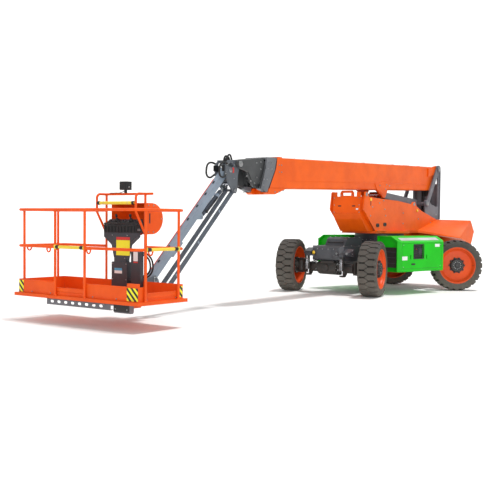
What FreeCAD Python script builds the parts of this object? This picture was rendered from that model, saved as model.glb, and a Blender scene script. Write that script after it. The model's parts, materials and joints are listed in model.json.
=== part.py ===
import FreeCAD, Part
import math
import os
import Sketcher

# Telescopic boom lift. Millimetres and degrees.
# The origin is on the ground under the swing axis, +X along the boom to the platform,
# +Y to the machine's left, +Z up. The chassis stands turned under the boom by the swing.

sizes = {
    # running gear
    "wheelbase": 2905,
    "kingpin_half": 823,        # kingpin to the middle of the chassis
    "hub_reach": 219,           # kingpin to the middle of the tyre
    "tyre_dia": 1063,
    "tyre_width": 378,
    "rim_dia": 764,
    "rim_wall": 14,
    "rim_depth": 92,            # dish from the lip to the disc
    "hub_dia": 300,
    "swing_angle": 11.9,        # boom against chassis as parked
    "front_steer": 27.8,
    "rear_steer": -41.5,
    "kingpin_dia": 70,
    "steer_arm": 200,
    "run_gap": 1,               # radial clearance of a pin in its bore
    "side_gap": 5,              # clearance beside an eye or a lug
    # chassis
    "frame_width": 860,
    "frame_overhang": 147.5,    # from an axle to the end of the frame
    "frame_top": 945,
    "frame_belly": 449,
    "frame_arch": 650,          # underside over the axles
    "belly_length": 1900,
    "lug_height": 745,          # tie-down lugs at both ends
    "lug_reach": 45,
    "lug_side": 330,
    "lug_plate": 25,
    "lug_hole": 50,
    "lug_count": 10,
    "nose_bevel": 70,
    "cover_rear": 840,          # raised cover on each end of the frame
    "cover_front": 1340,
    "cover_top": 1110,
    "cover_half": 270,
    "step_reach": 210,          # side brackets beside the nose
    "ram_ahead": 150,           # axle cylinders, ahead of the front axle
    "ram_top": 740,
    "ram_side": 470,
    "pedestal_dia": 1120,
    "pedestal_gap": 15,
    "pedestal_top": 1060,
    "slew_dia": 1020,
    "box_length": 1440,
    "box_reach": 1150,          # outer face of a side box from the middle
    "box_shoulder": 1033,
    "box_top": 1150,
    "box_slope": 220,
    "box_edge": 30,
    "box_bevel": 60,
    "box_wall": 14,
    "box_recess": 55,           # the ends stand back inside the skin
    "window_rear": -20,
    "window_front": 280,
    "window_low": 715,
    "window_high": 980,
    "slot_gap": 100,
    # turntable
    "deck_bottom": 1200,
    "deck_thick": 40,
    "cheek_inner": 360,
    "cheek_thick": 30,
    "cheek_front": 1335,
    "cheek_top": 1918,
    "lug_top": 2020,
    "upright_gap": 40,          # beside the base boom
    "upright_thick": 30,
    "hood_rear": 820,
    "hood_front": 1330,
    "hood_half": 310,
    "hood_top": 1928,
    "post_rise": 86,            # plates that stand up at the hood's front corners
    "rest_top": 2044,
    "tail_x": 2330,
    "tail_half": 1100,
    "tail_top": 1490,
    # boom
    "pivot_x": -2130,
    "pivot_z": 2634,
    "boom_dip": 1.5,            # nose-down angle as parked
    "base_front": 6130,         # top front edge from the pivot
    "boom_slant": 250,          # how far the lower front edge stands ahead of the upper
    "boom_kink_x": 56,
    "boom_kink_z": 160,
    "lip_drop": 98,
    "fold": 16,
    "base_top": 45,
    "base_height": 530,
    "base_half": 240,
    "base_wall": 10,
    "mid_half": 210,
    "mid_height": 470,
    "mid_wall": 8,
    "fly_half": 182,
    "fly_height": 414,
    "fly_wall": 8,
    "nest_half": 128,           # half the open slot under the boom's end
    "collar_gap": 22,
    "collar_length": 270,
    "section_drop": 30,         # step down from one section's top to the next
    "pivot_pin_dia": 90,
    "tip_x": 7095,              # boom tip pin from the pivot
    "tip_z": -88,
    "tip_pin_dia": 76,
    # lift cylinder
    "lift_foot_x": -1557,
    "lift_foot_z": 1837,
    "lift_eye_x": 250,
    "lift_eye_z": 1985,
    "lift_bore_dia": 130,
    "lift_rod_dia": 80,
    "lift_pin_dia": 80,
    "guard_half": 165,          # cover over the lift cylinder
    # jib
    "jib_top_x": 5130,
    "jib_top_z": 2250,
    "jib_foot_x": 6860,
    "jib_foot_z": 563,
    "link_dx": -120,            # link pins from the jib pins
    "link_dz": -320,
    "jib_half": 55,
    "jib_height": 106,
    "link_inner": 62,
    "link_thick": 22,
    "link_height": 72,
    "lug_inner": 90,
    "lug_thick": 25,
    "jib_pin_dia": 60,
    "link_pin_dia": 40,
    "jcyl_eye_x": 5110,         # jib cylinder's eye on the knuckle
    "jcyl_eye_z": 2030,
    "jcyl_along": 970,          # its foot, along the jib and below it
    "jcyl_below": 120,
    "jcyl_eye_half": 25,
    "jcyl_pin_dia": 36,
    "jcyl_dia": 74,
    "jcyl_rod_dia": 40,
    # platform
    "swivel_x": 7180,
    "rotator_dia": 200,
    "rotator_bottom": 205,
    "rotator_top": 600,
    "deck_rear": 7416,
    "deck_front": 8345,
    "deck_half": 1238,
    "rim_bottom": 351,
    "rim_height": 45,
    "toe_inset": 46,
    "toe_height": 190,
    "toe_thick": 5,
    "gate_step": 80,            # the boards are lower at the gates
    "rail_dia": 40,
    "rail_inset": 26,
    "rail_bend": 120,
    "top_rail": 1570,
    "mid_rail": 1060,
    "post_dia": 36,
    "post_inset": 130,
    "gate_left": -384,
    "gate_right": 212,
    "beam_left": -610,          # channel under the deck's front edge
    "beam_right": 660,
    "beam_holes": 8,
    "gate_bar_dia": 44,
    "saddle_gap": 0.5,
    "saddle_wall": 8,
    "saddle_height": 60,
    "console_y": 80,
    "console_front": 135,       # face of the pedestal from the deck's rear edge
    "hoop_half": 388,
    "hoop_dia": 34,
    "hoop_reach": 185,
    "crown_rise": 230,          # the guard's top bar above the top rail
    "crown_end": 140,           # how far it passes the near hoop
    "bar_rise": 102,            # pressure bar above the top rail
    "hood_pin_x": 7380,         # hinge of the console's hood
    "hood_pin_z": 1236,
    "hood_height": 440,
    "hood_straight": 115,
    "hood_steps": 12,
    "hood_wide": 700,
    "hood_wall": 10,
    "hinge_dia": 24,
    "hinge_pin_dia": 10,
}

doc = FreeCAD.newDocument("boom_lift")
sheet = doc.addObject("Spreadsheet::Sheet", "Sizes")
for row, (name, value) in enumerate(sizes.items(), 1):
    sheet.set(f"A{row}", name)
    sheet.set(f"B{row}", str(value))
    sheet.setAlias(f"B{row}", name)
doc.recompute()


class Size:
    # a number together with the sheet expression that gives it

    def __init__(self, value, text=None):
        self.value = float(value)
        self.text = text or repr(value)

    def __add__(self, other):
        other = as_size(other)
        return Size(self.value + other.value, f"({self.text} + {other.text})")

    def __sub__(self, other):
        other = as_size(other)
        return Size(self.value - other.value, f"({self.text} - {other.text})")

    def __mul__(self, other):
        other = as_size(other)
        return Size(self.value * other.value, f"({self.text} * {other.text})")

    def __truediv__(self, other):
        other = as_size(other)
        return Size(self.value / other.value, f"({self.text} / {other.text})")

    def __neg__(self):
        return Size(-self.value, f"(-1 * {self.text})")

    def __radd__(self, other):
        return as_size(other) + self

    def __rsub__(self, other):
        return as_size(other) - self

    def __rmul__(self, other):
        return as_size(other) * self


def as_size(number):
    return number if isinstance(number, Size) else Size(number)


def cosine(angle):
    angle = as_size(angle)
    return Size(math.cos(math.radians(angle.value)), f"cos({angle.text} * 1 deg)")


def sine(angle):
    angle = as_size(angle)
    return Size(math.sin(math.radians(angle.value)), f"sin({angle.text} * 1 deg)")


def heading(rise, run):
    text = f"(atan2({rise.text}; {run.text}) / 1 deg)"
    return Size(math.degrees(math.atan2(rise.value, run.value)), text)


def span(rise, run):
    text = f"sqrt(pow({rise.text}; 2) + pow({run.text}; 2))"
    return Size(math.hypot(rise.value, run.value), text)


class Sheet:
    # sizes by name, as cells of the sheet

    def __getattr__(self, name):
        return Size(sizes[name], f"Sizes.{name}")


d = Sheet()
nodes = []


# ---- building blocks -------------------------------------------------------------------

def new_body(label):
    body = doc.addObject("PartDesign::Body", label)
    body.Label = label
    nodes.append(body)
    return body


def put(piece, x=0, y=0, z=0, axis=(0, 0, 1), angle=0):
    x, y, z, angle = [as_size(value) for value in (x, y, z, angle)]
    turn = FreeCAD.Rotation(FreeCAD.Vector(*axis), angle.value)
    piece.Placement = FreeCAD.Placement(FreeCAD.Vector(x.value, y.value, z.value), turn)
    for name, value in (("x", x), ("y", y), ("z", z)):
        piece.setExpression(f"Placement.Base.{name}", value.text)
    return piece


def new_sketch(body, plane, at=0):
    # at is where the sketch lies along the positive axis that the plane faces
    at = as_size(at)
    sketch = body.newObject("Sketcher::SketchObject", f"{body.Name}_sketch")
    support = [feature for feature in body.Origin.OriginFeatures if feature.Role == f"{plane}_Plane"]
    sketch.AttachmentSupport = [(support[0], "")]
    sketch.MapMode = "FlatFace"
    if plane == "XZ":
        at = -at
    sketch.AttachmentOffset = FreeCAD.Placement(FreeCAD.Vector(0, 0, at.value), FreeCAD.Rotation())
    sketch.setExpression("AttachmentOffset.Base.z", at.text)
    return sketch


def pin_point(sketch, geometry, end, x, y):
    # ties one point of the sketch to the sheet
    for kind, value, letter in (("DistanceX", x, "x"), ("DistanceY", y, "y")):
        value = as_size(value)
        name = f"{letter}{geometry}_{end}"
        index = sketch.addConstraint(Sketcher.Constraint(kind, -1, 1, geometry, end, value.value))
        sketch.renameConstraint(index, name)
        sketch.setExpression(f"Constraints.{name}", value.text)


def draw_outline(sketch, points):
    points = [(as_size(x), as_size(y)) for x, y in points]
    first = sketch.GeometryCount
    corners = [FreeCAD.Vector(x.value, y.value, 0) for x, y in points]
    count = len(points)
    for index in range(count):
        line = Part.LineSegment(corners[index], corners[(index + 1) % count])
        sketch.addGeometry(line, False)
    for index in range(count):
        after = first + (index + 1) % count
        sketch.addConstraint(Sketcher.Constraint("Coincident", first + index, 2, after, 1))
    for index, (x, y) in enumerate(points):
        pin_point(sketch, first + index, 1, x, y)


def draw_circle(sketch, x, y, radius):
    x, y, radius = as_size(x), as_size(y), as_size(radius)
    centre = FreeCAD.Vector(x.value, y.value, 0)
    index = sketch.addGeometry(Part.Circle(centre, FreeCAD.Vector(0, 0, 1), radius.value), False)
    pin_point(sketch, index, 3, x, y)
    rule = sketch.addConstraint(Sketcher.Constraint("Radius", index, radius.value))
    sketch.renameConstraint(rule, f"radius{index}")
    sketch.setExpression(f"Constraints.radius{index}", radius.text)


def extrude(body, sketch, length, symmetric=False, cut=False):
    # the solid or the cut runs from the sketch towards the positive axis
    kind = "Pocket" if cut else "Pad"
    length = as_size(length)
    feature = body.newObject(f"PartDesign::{kind}", f"{body.Name}_{kind.lower()}")
    feature.Profile = sketch
    if symmetric:
        feature.SideType = "Symmetric"
    faces_back = sketch.AttachmentSupport[0][0].Role == "XZ_Plane"
    feature.Reversed = faces_back != cut
    feature.Length = length.value
    feature.setExpression("Length", length.text)
    return feature


def block(body, plane, points, length, at=0, symmetric=False, cut=False):
    sketch = new_sketch(body, plane, at)
    draw_outline(sketch, points)
    return extrude(body, sketch, length, symmetric, cut)


def disc(body, plane, x, y, radius, length, at=0, symmetric=False, cut=False):
    sketch = new_sketch(body, plane, at)
    draw_circle(sketch, x, y, radius)
    return extrude(body, sketch, length, symmetric, cut)


def pair(body, plane, points, length, at, cut=False):
    # the same plate on both sides of the middle
    block(body, plane, points, length, at, cut=cut)
    block(body, plane, points, length, -(as_size(at) + length), cut=cut)


def disc_pair(body, plane, x, y, radius, length, at, cut=False):
    disc(body, plane, x, y, radius, length, at, cut=cut)
    disc(body, plane, x, y, radius, length, -(as_size(at) + length), cut=cut)


def loft(body, plane, points, ends, at):
    # a straight-sided taper from one outline to another with the same number of corners
    sketches = []
    for offset, outline in zip(at, (points, ends)):
        sketch = new_sketch(body, plane, offset)
        draw_outline(sketch, outline)
        sketches.append(sketch)
    taper = body.newObject("PartDesign::AdditiveLoft", "Loft")
    taper.Profile = sketches[0]
    taper.Sections = [sketches[1]]
    taper.Ruled = True
    return taper


def box_section(half, low, high):
    # a folded box section with its four edges bevelled, or the hollow inside one
    edge = d.fold
    return [(edge - half, low), (half - edge, low), (half, low + edge), (half, high - edge),
            (half - edge, high), (edge - half, high), (-half, high - edge), (-half, low + edge)]


def rectangle(x0, x1, y0, y1):
    return [(x0, y0), (x1, y0), (x1, y1), (x0, y1)]


def spin(body, points):
    # turns an outline of (radius, width) about the body's Y axis
    sketch = new_sketch(body, "XY")
    draw_outline(sketch, points)
    feature = body.newObject("PartDesign::Revolution", f"{body.Name}_spin")
    feature.Profile = sketch
    feature.ReferenceAxis = (sketch, ["V_Axis"])
    feature.Angle = 360
    return feature


def on_chassis(x, y):
    # a point of the chassis in the frame of the boom
    x, y = as_size(x), as_size(y)
    turned_x = x * cosine(d.swing_angle) + y * sine(d.swing_angle)
    turned_y = y * cosine(d.swing_angle) - x * sine(d.swing_angle)
    return turned_x, turned_y


def put_on_chassis(piece, x=0, y=0, z=0, turn=0):
    turned_x, turned_y = on_chassis(x, y)
    return put(piece, turned_x, turned_y, z, angle=as_size(turn) - d.swing_angle)


def put_on_boom(piece):
    return put(piece, d.pivot_x, 0, d.pivot_z, axis=(0, 1, 0), angle=d.boom_dip)


def wire_of(points, bend):
    # straight runs joined by tangent arcs of one radius
    corners = [FreeCAD.Vector(*point) for point in points]
    edges = []
    start = corners[0]
    for before, corner, after in zip(corners, corners[1:], corners[2:]):
        back = (before - corner).normalize()
        ahead = (after - corner).normalize()
        half = back.getAngle(ahead) / 2
        trim = bend / math.tan(half)
        middle = corner + (back + ahead).normalize() * (bend / math.sin(half) - bend)
        edges.append(Part.LineSegment(start, corner + back * trim).toShape())
        start = corner + ahead * trim
        edges.append(Part.Arc(corner + back * trim, middle, start).toShape())
    edges.append(Part.LineSegment(start, corners[-1]).toShape())
    return Part.Wire(edges)


def bent_tube(points, bend, diameter):
    wire = wire_of(points, bend)
    start = wire.Edges[0].valueAt(wire.Edges[0].FirstParameter)
    run = wire.Edges[0].tangentAt(wire.Edges[0].FirstParameter)
    profile = Part.Wire([Part.Circle(start, run, diameter / 2).toShape()])
    return wire.makePipeShell([profile], True, False)


def straight_tube(start, end, diameter):
    start, end = FreeCAD.Vector(*start), FreeCAD.Vector(*end)
    return Part.makeCylinder(diameter / 2, (end - start).Length, start, end - start)


def add_shape(label, shape):
    piece = doc.addObject("Part::Feature", label)
    piece.Label = label
    piece.Shape = shape
    nodes.append(piece)
    return piece


# ---- chassis ---------------------------------------------------------------------------

def build_chassis_frame():
    body = new_body("chassis_frame")
    nose = d.wheelbase / 2 + d.frame_overhang
    belly = d.belly_length / 2
    side = [(nose - 40, d.frame_top), (nose, d.frame_top - 40), (nose, d.frame_arch + 90),
            (nose - 25, d.frame_arch + 30), (nose - 90, d.frame_arch), (belly + 170, d.frame_arch),
            (belly, d.frame_belly)]
    mirrored = [(-x, z) for x, z in reversed(side)]
    block(body, "XZ", side + mirrored, d.frame_width, symmetric=True)
    half = d.frame_width / 2
    for end in (-1, 1):
        for across in (-1, 1):
            corner = [(end * nose, across * half), (end * (nose - d.nose_bevel), across * half),
                      (end * nose, across * (half - d.nose_bevel))]
            block(body, "XY", corner, d.frame_top, cut=True)
    disc(body, "XY", 0, 0, d.pedestal_dia / 2, d.pedestal_top - d.frame_top, at=d.frame_top)
    cover = [(d.cover_rear, d.frame_top), (d.cover_front, d.frame_top),
             (d.cover_front - 60, d.cover_top - 30),
             (d.cover_front - 110, d.cover_top), (d.cover_rear, d.cover_top)]
    block(body, "XZ", cover, 2 * d.cover_half, symmetric=True)
    rear_cover = [(-x, z) for x, z in cover]
    block(body, "XZ", rear_cover, 2 * d.cover_half, symmetric=True)
    for end in (-1, 1):
        for across in (-1, 1):
            y = across * d.lug_side
            lug = [(end * (nose - 110), y - 60), (end * (nose + 60), y - 60), (end * (nose + 90), y - 30),
                   (end * (nose + 90), y + 30), (end * (nose + 60), y + 60), (end * (nose - 110), y + 60)]
            block(body, "XY", lug, d.lug_plate, at=d.lug_height)
            hole = end * (nose + d.lug_reach)
            disc(body, "XY", hole, y, d.lug_hole / 2, d.lug_plate, at=d.lug_height, cut=True)
        step = [(end * (nose - 150), 750), (end * (nose - 20), 780), (end * (nose - 20), 830),
                (end * (nose - 150), 900)]
        pair(body, "XZ", step, d.step_reach, half - 10)
    seat_x = d.wheelbase / 2 + d.ram_ahead
    seat = rectangle(seat_x - 45, seat_x + 45, d.ram_top, d.ram_top + 50)
    pair(body, "XZ", seat, 110, half - 25)
    put_on_chassis(body)


def build_axle(label, end):
    body = new_body(label)
    kingpin = d.kingpin_half
    fork_gap = 110
    beam = [(-100, -70), (-70, -105), (70, -105), (100, -70), (100, 50), (75, 75), (-75, 75), (-100, 50)]
    block(body, "XZ", beam, 2 * (kingpin - 150), symmetric=True)
    disc(body, "XZ", 0, -20, 135, 520, symmetric=True)
    pair(body, "XZ", rectangle(-60, 60, -140, 140), 60, kingpin - 160)
    for low in (-fork_gap - 30, fork_gap):
        for side in (-1, 1):
            arm = [(-60, side * (kingpin - 160)), (60, side * (kingpin - 160)),
                   (75, side * kingpin), (-75, side * kingpin)]
            block(body, "XY", arm, 30, at=low)
            disc(body, "XY", 0, side * kingpin, 75, 30, at=low)
            bore = d.kingpin_dia / 2 + d.run_gap
            disc(body, "XY", 0, side * kingpin, bore, 30, at=low, cut=True)
    seat = d.frame_arch - d.tyre_dia / 2
    block(body, "XY", rectangle(-100, 100, -180, 180), seat - 70, at=70)
    if end > 0:
        foot = [(60, -60), (100, -60), (100, -150), (195, -150), (195, -181), (105, -181), (60, -120)]
        pair(body, "XZ", foot, 80, 430)
    put_on_chassis(body, end * d.wheelbase / 2, 0, d.tyre_dia / 2)


def build_slew_ring():
    body = new_body("slew_ring")
    disc(body, "XY", 0, 0, d.slew_dia / 2, d.deck_bottom - 10 - d.pedestal_top, at=d.pedestal_top)
    put_on_chassis(body)


def build_side_box(label, side):
    body = new_body(label)
    inner = d.frame_width / 2
    ring = d.pedestal_dia / 2 + d.pedestal_gap
    reach, shoulder, top = d.box_reach, d.box_shoulder, d.box_top
    edge = d.box_edge
    outline = [(inner, d.frame_belly), (reach - edge, d.frame_belly), (reach, d.frame_belly + edge),
               (reach, shoulder), (reach - d.box_slope, top), (ring, top), (ring, d.frame_top),
               (inner, d.frame_top)]
    half = d.box_length / 2
    block(body, "YZ", [(side * y, z) for y, z in outline], d.box_length, symmetric=True)
    for end in (-1, 1):
        corner = [(end * half, side * reach), (end * (half - d.box_bevel), side * reach),
                  (end * half, side * (reach - d.box_bevel))]
        block(body, "XY", corner, top, cut=True)
    wall = d.box_wall
    recess = [(inner + 2 * wall, d.frame_belly + wall), (reach - d.box_bevel - wall, d.frame_belly + wall),
              (reach - d.box_bevel - wall, shoulder), (reach - d.box_slope - wall, top - wall),
              (ring + wall, top - wall), (ring + wall, d.frame_top), (inner + 2 * wall, d.frame_top)]
    for low in (-half, half - d.box_recess):
        block(body, "YZ", [(side * y, z) for y, z in recess], d.box_recess, at=low, cut=True)
    skin = 24
    low = reach - skin if side > 0 else -reach
    window = rectangle(d.window_rear, d.window_front, d.window_low, d.window_high)
    block(body, "XZ", window, skin, at=low, cut=True)
    for x in (d.window_front + d.slot_gap, d.window_rear - d.slot_gap):
        block(body, "XZ", rectangle(x - 14, x + 14, d.window_low - 15, d.window_low + 65), skin, at=low,
              cut=True)
    put_on_chassis(body)


def build_axle_cylinders():
    x = sizes["wheelbase"] / 2 + sizes["ram_ahead"]
    foot = sizes["tyre_dia"] / 2 - sizes["ram_ahead"]
    top = sizes["ram_top"]
    pieces = []
    for side in (-1, 1):
        y = side * sizes["ram_side"]
        barrel = straight_tube((x, y, foot + 100), (x, y, top), 56)
        collar = straight_tube((x, y, foot + 90), (x, y, foot + 125), 66)
        rod = straight_tube((x, y, foot), (x, y, foot + 100), 32)
        pieces.append(barrel.multiFuse([collar, rod]))
    body = add_shape("axle_cylinders", Part.Compound(pieces))
    put_on_chassis(body)


def build_knuckle(label, end, side, steer):
    body = new_body(label)
    disc(body, "XY", 0, 0, d.kingpin_dia / 2, 300, symmetric=True)
    disc(body, "XY", 0, 0, 85, 210, symmetric=True)
    for radius, start, stop in ((80, 0, 100), (165, 95, 160), (150, 155, 198)):
        low = start if side > 0 else -stop
        disc(body, "XZ", 0, 0, radius, stop - start, at=low)
    reach = -end * d.steer_arm
    arm = [(0, -22), (reach, -22), (reach, 22), (0, 22)]
    block(body, "XY", arm, 28, at=-75)
    disc(body, "XY", reach, 0, 28, 28, at=-75)
    put_on_chassis(body, end * d.wheelbase / 2, side * d.kingpin_half, d.tyre_dia / 2, steer)


def put_wheel(piece, end, side, steer):
    # the wheel's middle stands hub_reach out from the kingpin, along the turned axle
    x = end * d.wheelbase / 2 - side * d.hub_reach * sine(steer)
    y = side * d.kingpin_half + side * d.hub_reach * cosine(steer)
    flip = 0 if side > 0 else 180
    put_on_chassis(piece, x, y, d.tyre_dia / 2, steer + flip)


def build_wheel(place, end, side, steer):
    seat = d.rim_dia / 2
    outer = d.tyre_dia / 2
    half = d.tyre_width / 2
    tyre = new_body(f"tyre_{place}")
    scale = (outer - seat) / 149.5      # the section below is drawn 149.5 high
    profile = [(seat, half - 18), (seat + 26 * scale, half - 6), (outer - 66 * scale, half),
               (outer - 22 * scale, half - 14), (outer, half - 48)]
    mirrored = [(radius, -width) for radius, width in reversed(profile)]
    spin(tyre, profile + mirrored)
    put_wheel(tyre, end, side, steer)

    rim = new_body(f"rim_{place}")
    hub = d.hub_dia / 2
    lip = half - 14
    face = lip - d.rim_depth
    wall = d.rim_wall
    outline = [(seat, -lip), (seat, lip), (seat - 20, lip), (seat - 24, lip - 20), (seat - 42, lip - 34),
               (seat - 50, face + 26), (seat - 78, face + 6), (hub + 40, face + 22), (hub, face + 22),
               (hub, face), (hub + 36, face), (seat - 84, face - wall), (seat - 62, face - 8),
               (seat - wall, face + 12), (seat - wall, -lip)]
    spin(rim, outline)
    put_wheel(rim, end, side, steer)

    drum = new_body(f"hub_{place}")
    back = -14
    spin(drum, [(0, back), (hub, back), (hub, face + 34), (hub - 12, face + 40), (hub - 18, face + 76),
                (hub - 30, face + 88), (hub - 50, face + 88), (hub - 58, face + 78), (0, face + 78)])
    for turn in range(sizes["lug_count"]):
        angle = 360 * turn / sizes["lug_count"]
        x = (hub + 4) * cosine(angle)
        z = (hub + 4) * sine(angle)
        disc(drum, "XZ", x, z, 19, 26, at=face + 22)
    put_wheel(drum, end, side, steer)


def build_tie_rod(label, end, steer):
    reach = sizes["steer_arm"]
    angle = math.radians(sizes[steer])
    x = end * sizes["wheelbase"] / 2 - end * reach * math.cos(angle)
    shift = -end * reach * math.sin(angle)
    z = sizes["tyre_dia"] / 2 - 97
    half = sizes["kingpin_half"]
    eyes = [Part.makeCylinder(28, 32, FreeCAD.Vector(x, side * half + shift, z - 16)) for side in (-1, 1)]
    bar = straight_tube((x, shift - half, z), (x, shift + half, z), 34)
    body = add_shape(label, bar.fuse(eyes[0]).fuse(eyes[1]))
    put_on_chassis(body)


# ---- turntable -------------------------------------------------------------------------

def build_turntable():
    body = new_body("turntable_frame")
    outer = d.cheek_inner + d.cheek_thick
    top = d.deck_bottom + d.deck_thick
    front = d.cheek_front
    block(body, "XY", rectangle(-1900, front - 480, -outer, outer), d.deck_thick, at=d.deck_bottom)
    disc(body, "XY", 0, 0, 620, d.deck_thick, at=d.deck_bottom)
    cheek = [(-1900, top), (front - 480, top), (front, 1665), (front, 1700), (front - 50, d.lug_top - 60),
             (front - 50, d.lug_top - 30), (front - 80, d.lug_top), (front - 150, d.lug_top),
             (front - 180, d.lug_top - 30), (front - 190, d.cheek_top), (-80, d.cheek_top - 50),
             (-700, d.cheek_top - 110), (-760, d.cheek_top - 55), (-850, d.cheek_top - 55),
             (-900, d.cheek_top - 140), (-1160, d.cheek_top - 245), (-1900, 1490)]
    pair(body, "XZ", cheek, d.cheek_thick, d.cheek_inner)
    for x, z in ((front - 115, d.lug_top - 50), (-805, d.cheek_top - 105)):
        disc(body, "XZ", x, z, 25, 2 * outer, symmetric=True, cut=True)
    flange = [(-900, top), (front - 480, top), (front - 500, top + 25), (-900, top + 25)]
    pair(body, "XZ", flange, 28, outer - 2)
    put(body)


def build_upright():
    body = new_body("rear_upright")
    base = d.deck_bottom + d.deck_thick
    outline = [(d.pivot_x - 75, base), (-1500, base), (-1490, 1500), (-1490, 1810), (-1590, 1905),
               (d.pivot_x + 85, d.pivot_z), (d.pivot_x - 75, d.pivot_z)]
    inner = d.base_half + d.upright_gap
    pair(body, "XZ", outline, d.upright_thick, inner)
    disc_pair(body, "XZ", d.pivot_x, d.pivot_z, 80, d.upright_thick, inner)
    disc_pair(body, "XZ", d.lift_foot_x, d.lift_foot_z, 85, d.upright_thick, inner)
    opening = [(d.pivot_x + 25, 1800), (d.pivot_x + 60, 1770), (-1780, 1830), (-1720, 1880), (-1735, 1920),
               (d.pivot_x + 70, 2440), (d.pivot_x + 35, 2440), (d.pivot_x + 25, 2400)]
    pair(body, "XZ", opening, d.upright_thick, inner, cut=True)
    rim = inner + d.upright_thick - 2
    spine = [(d.pivot_x - 75, 1500), (d.pivot_x - 50, 1500), (d.pivot_x - 50, d.pivot_z),
             (d.pivot_x - 75, d.pivot_z)]
    pair(body, "XZ", spine, 22, rim)
    inside = 2 * inner
    back = rectangle(d.pivot_x - 75, d.pivot_x - 55, base, 2300)
    block(body, "XZ", back, inside, symmetric=True)
    disc(body, "XZ", d.pivot_x, d.pivot_z, d.pivot_pin_dia / 2, inside + 110, symmetric=True)
    disc(body, "XZ", d.lift_foot_x, d.lift_foot_z, d.lift_pin_dia / 2, inside + 110, symmetric=True)
    put(body)


def build_hood():
    body = new_body("front_hood")
    front, top, half = d.hood_front, d.hood_top, d.hood_half
    rear = d.hood_rear
    base = d.deck_bottom + d.deck_thick
    outline = [(rear, base), (front - 280, base), (front - 60, 1480), (front - 12, 1565), (front, 1590),
               (front, top), (rear, top)]
    block(body, "XZ", outline, 2 * half, symmetric=True)
    inner = d.cheek_inner
    wing = [(rear, base), (front - 480, base), (front - 40, 1640), (front - 40, top - 60), (rear, top - 60)]
    pair(body, "XZ", wing, inner - half + 1, half - 1)
    post = rectangle(front - 22, front, top - 5, top + d.post_rise)
    pair(body, "XZ", post, 84, half - 84)
    put(body)


def build_counterweight():
    body = new_body("counterweight")
    tail, top, half = d.tail_x, d.tail_top, d.tail_half
    outer = d.cheek_inner + d.cheek_thick
    rear_plate = rectangle(-tail, 115 - tail, 960, top - 3)
    block(body, "XZ", rear_plate, 2 * outer + 4, symmetric=True)
    bevel = [(-tail, top), (90 - tail, top), (-tail, top - 120)]
    block(body, "XZ", bevel, 2 * outer + 6, symmetric=True, cut=True)
    root = [(-980, 1205), (-1000, 1262), (-1920, top), (90 - tail, top), (-tail, top - 120),
            (40 - tail, 960),
            (140 - tail, 960), (170 - tail, 1110), (-1600, 1165)]
    tip = [(-1545, 1090), (-1560, 1104), (205 - tail, top - 14), (195 - tail, top - 14), (5 - tail, 1228),
           (155 - tail, 955), (165 - tail, 955), (430 - tail, 1018), (-1700, 1062)]
    for side in (-1, 1):
        loft(body, "XZ", root, tip, (side * outer, side * half))
    put(body)


def build_boom_rest():
    body = new_body("boom_rest")
    rear, front = d.hood_front - 40, d.hood_front
    bracket = [(-150, d.hood_top), (150, d.hood_top), (150, d.rest_top - 40), (110, d.rest_top),
               (-110, d.rest_top), (-150, d.rest_top - 40)]
    block(body, "YZ", bracket, front - rear, at=rear)
    window = rectangle(-100, 100, d.hood_top + 16, d.rest_top - 46)
    block(body, "YZ", window, front - rear, at=rear, cut=True)
    put(body)


# ---- boom ------------------------------------------------------------------------------


def slant_edge(front, low):
    # the shared profile of the sections' front edges
    return [(front, d.base_top + 30), (front + d.boom_kink_x, -d.boom_kink_z), (front + d.boom_slant, low)]


def build_base_boom():
    body = new_body("base_boom")
    top = d.base_top
    low = top - d.base_height
    front = d.base_front
    half = d.base_half
    block(body, "YZ", box_section(half, low, top), front + 400, at=40)
    block(body, "XZ", [(39, -120), (300, low - 1), (39, low - 1)], 3 * half, symmetric=True, cut=True)
    ahead = slant_edge(front, low - 1) + [(front + 460, low - 1), (front + 460, top + 30)]
    block(body, "XZ", ahead, 3 * half, symmetric=True, cut=True)
    lip = [(front - 270, low + 6), (front + 90, low - d.lip_drop), (front + 230, low - d.lip_drop),
           (front + 288, low - d.lip_drop + 32), (front + d.boom_slant, low + 6)]
    block(body, "XZ", lip, 2 * half, symmetric=True)
    collar = [(front - 130, top - 40), (front - 120, top + 14), (front, top + 14), (front, top - 40)]
    block(body, "XZ", collar, 2 * half, symmetric=True)
    wall = d.base_wall
    block(body, "YZ", box_section(half - wall, low + wall, top - wall), front + 1000, at=360, cut=True)
    slot = rectangle(front + 170, front + 500, low - 200, low - 1)
    block(body, "XZ", slot, 2 * d.nest_half, symmetric=True, cut=True)
    ear = [(0, 72), (60, 72), (420, 0), (420, -180), (60, -120), (0, -72)]
    pair(body, "XZ", ear, 30, half - 1)
    disc_pair(body, "XZ", 0, 0, 72, 30, half - 1)
    bore = d.pivot_pin_dia / 2 + d.run_gap
    disc(body, "XZ", 0, 0, bore, 4 * half, symmetric=True, cut=True)
    eye_x, eye_z = boom_point(d.lift_eye_x, d.lift_eye_z)
    gusset = [(eye_x - 150, low + 5), (eye_x + 330, low + 5), (eye_x + 90, eye_z - 20),
              (eye_x + 50, eye_z - 60), (eye_x - 20, eye_z - 60), (eye_x - 60, eye_z - 30)]
    pair(body, "XZ", gusset, half - 200, 200)
    plate = [(eye_x - 290, low + 60), (eye_x - 165, low + 205), (eye_x + 400, low + 118),
             (eye_x + 310, low + 4),
             (eye_x + 145, low - 52), (eye_x + 78, low - 100), (eye_x - 90, low)]
    pair(body, "XZ", plate, 14, half - 2)
    put_on_boom(body)


def boom_point(x, z):
    # a point of the side view in the boom's own frame
    run, rise = x - d.pivot_x, z - d.pivot_z
    along = run * cosine(d.boom_dip) - rise * sine(d.boom_dip)
    above = run * sine(d.boom_dip) + rise * cosine(d.boom_dip)
    return along, above


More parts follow.
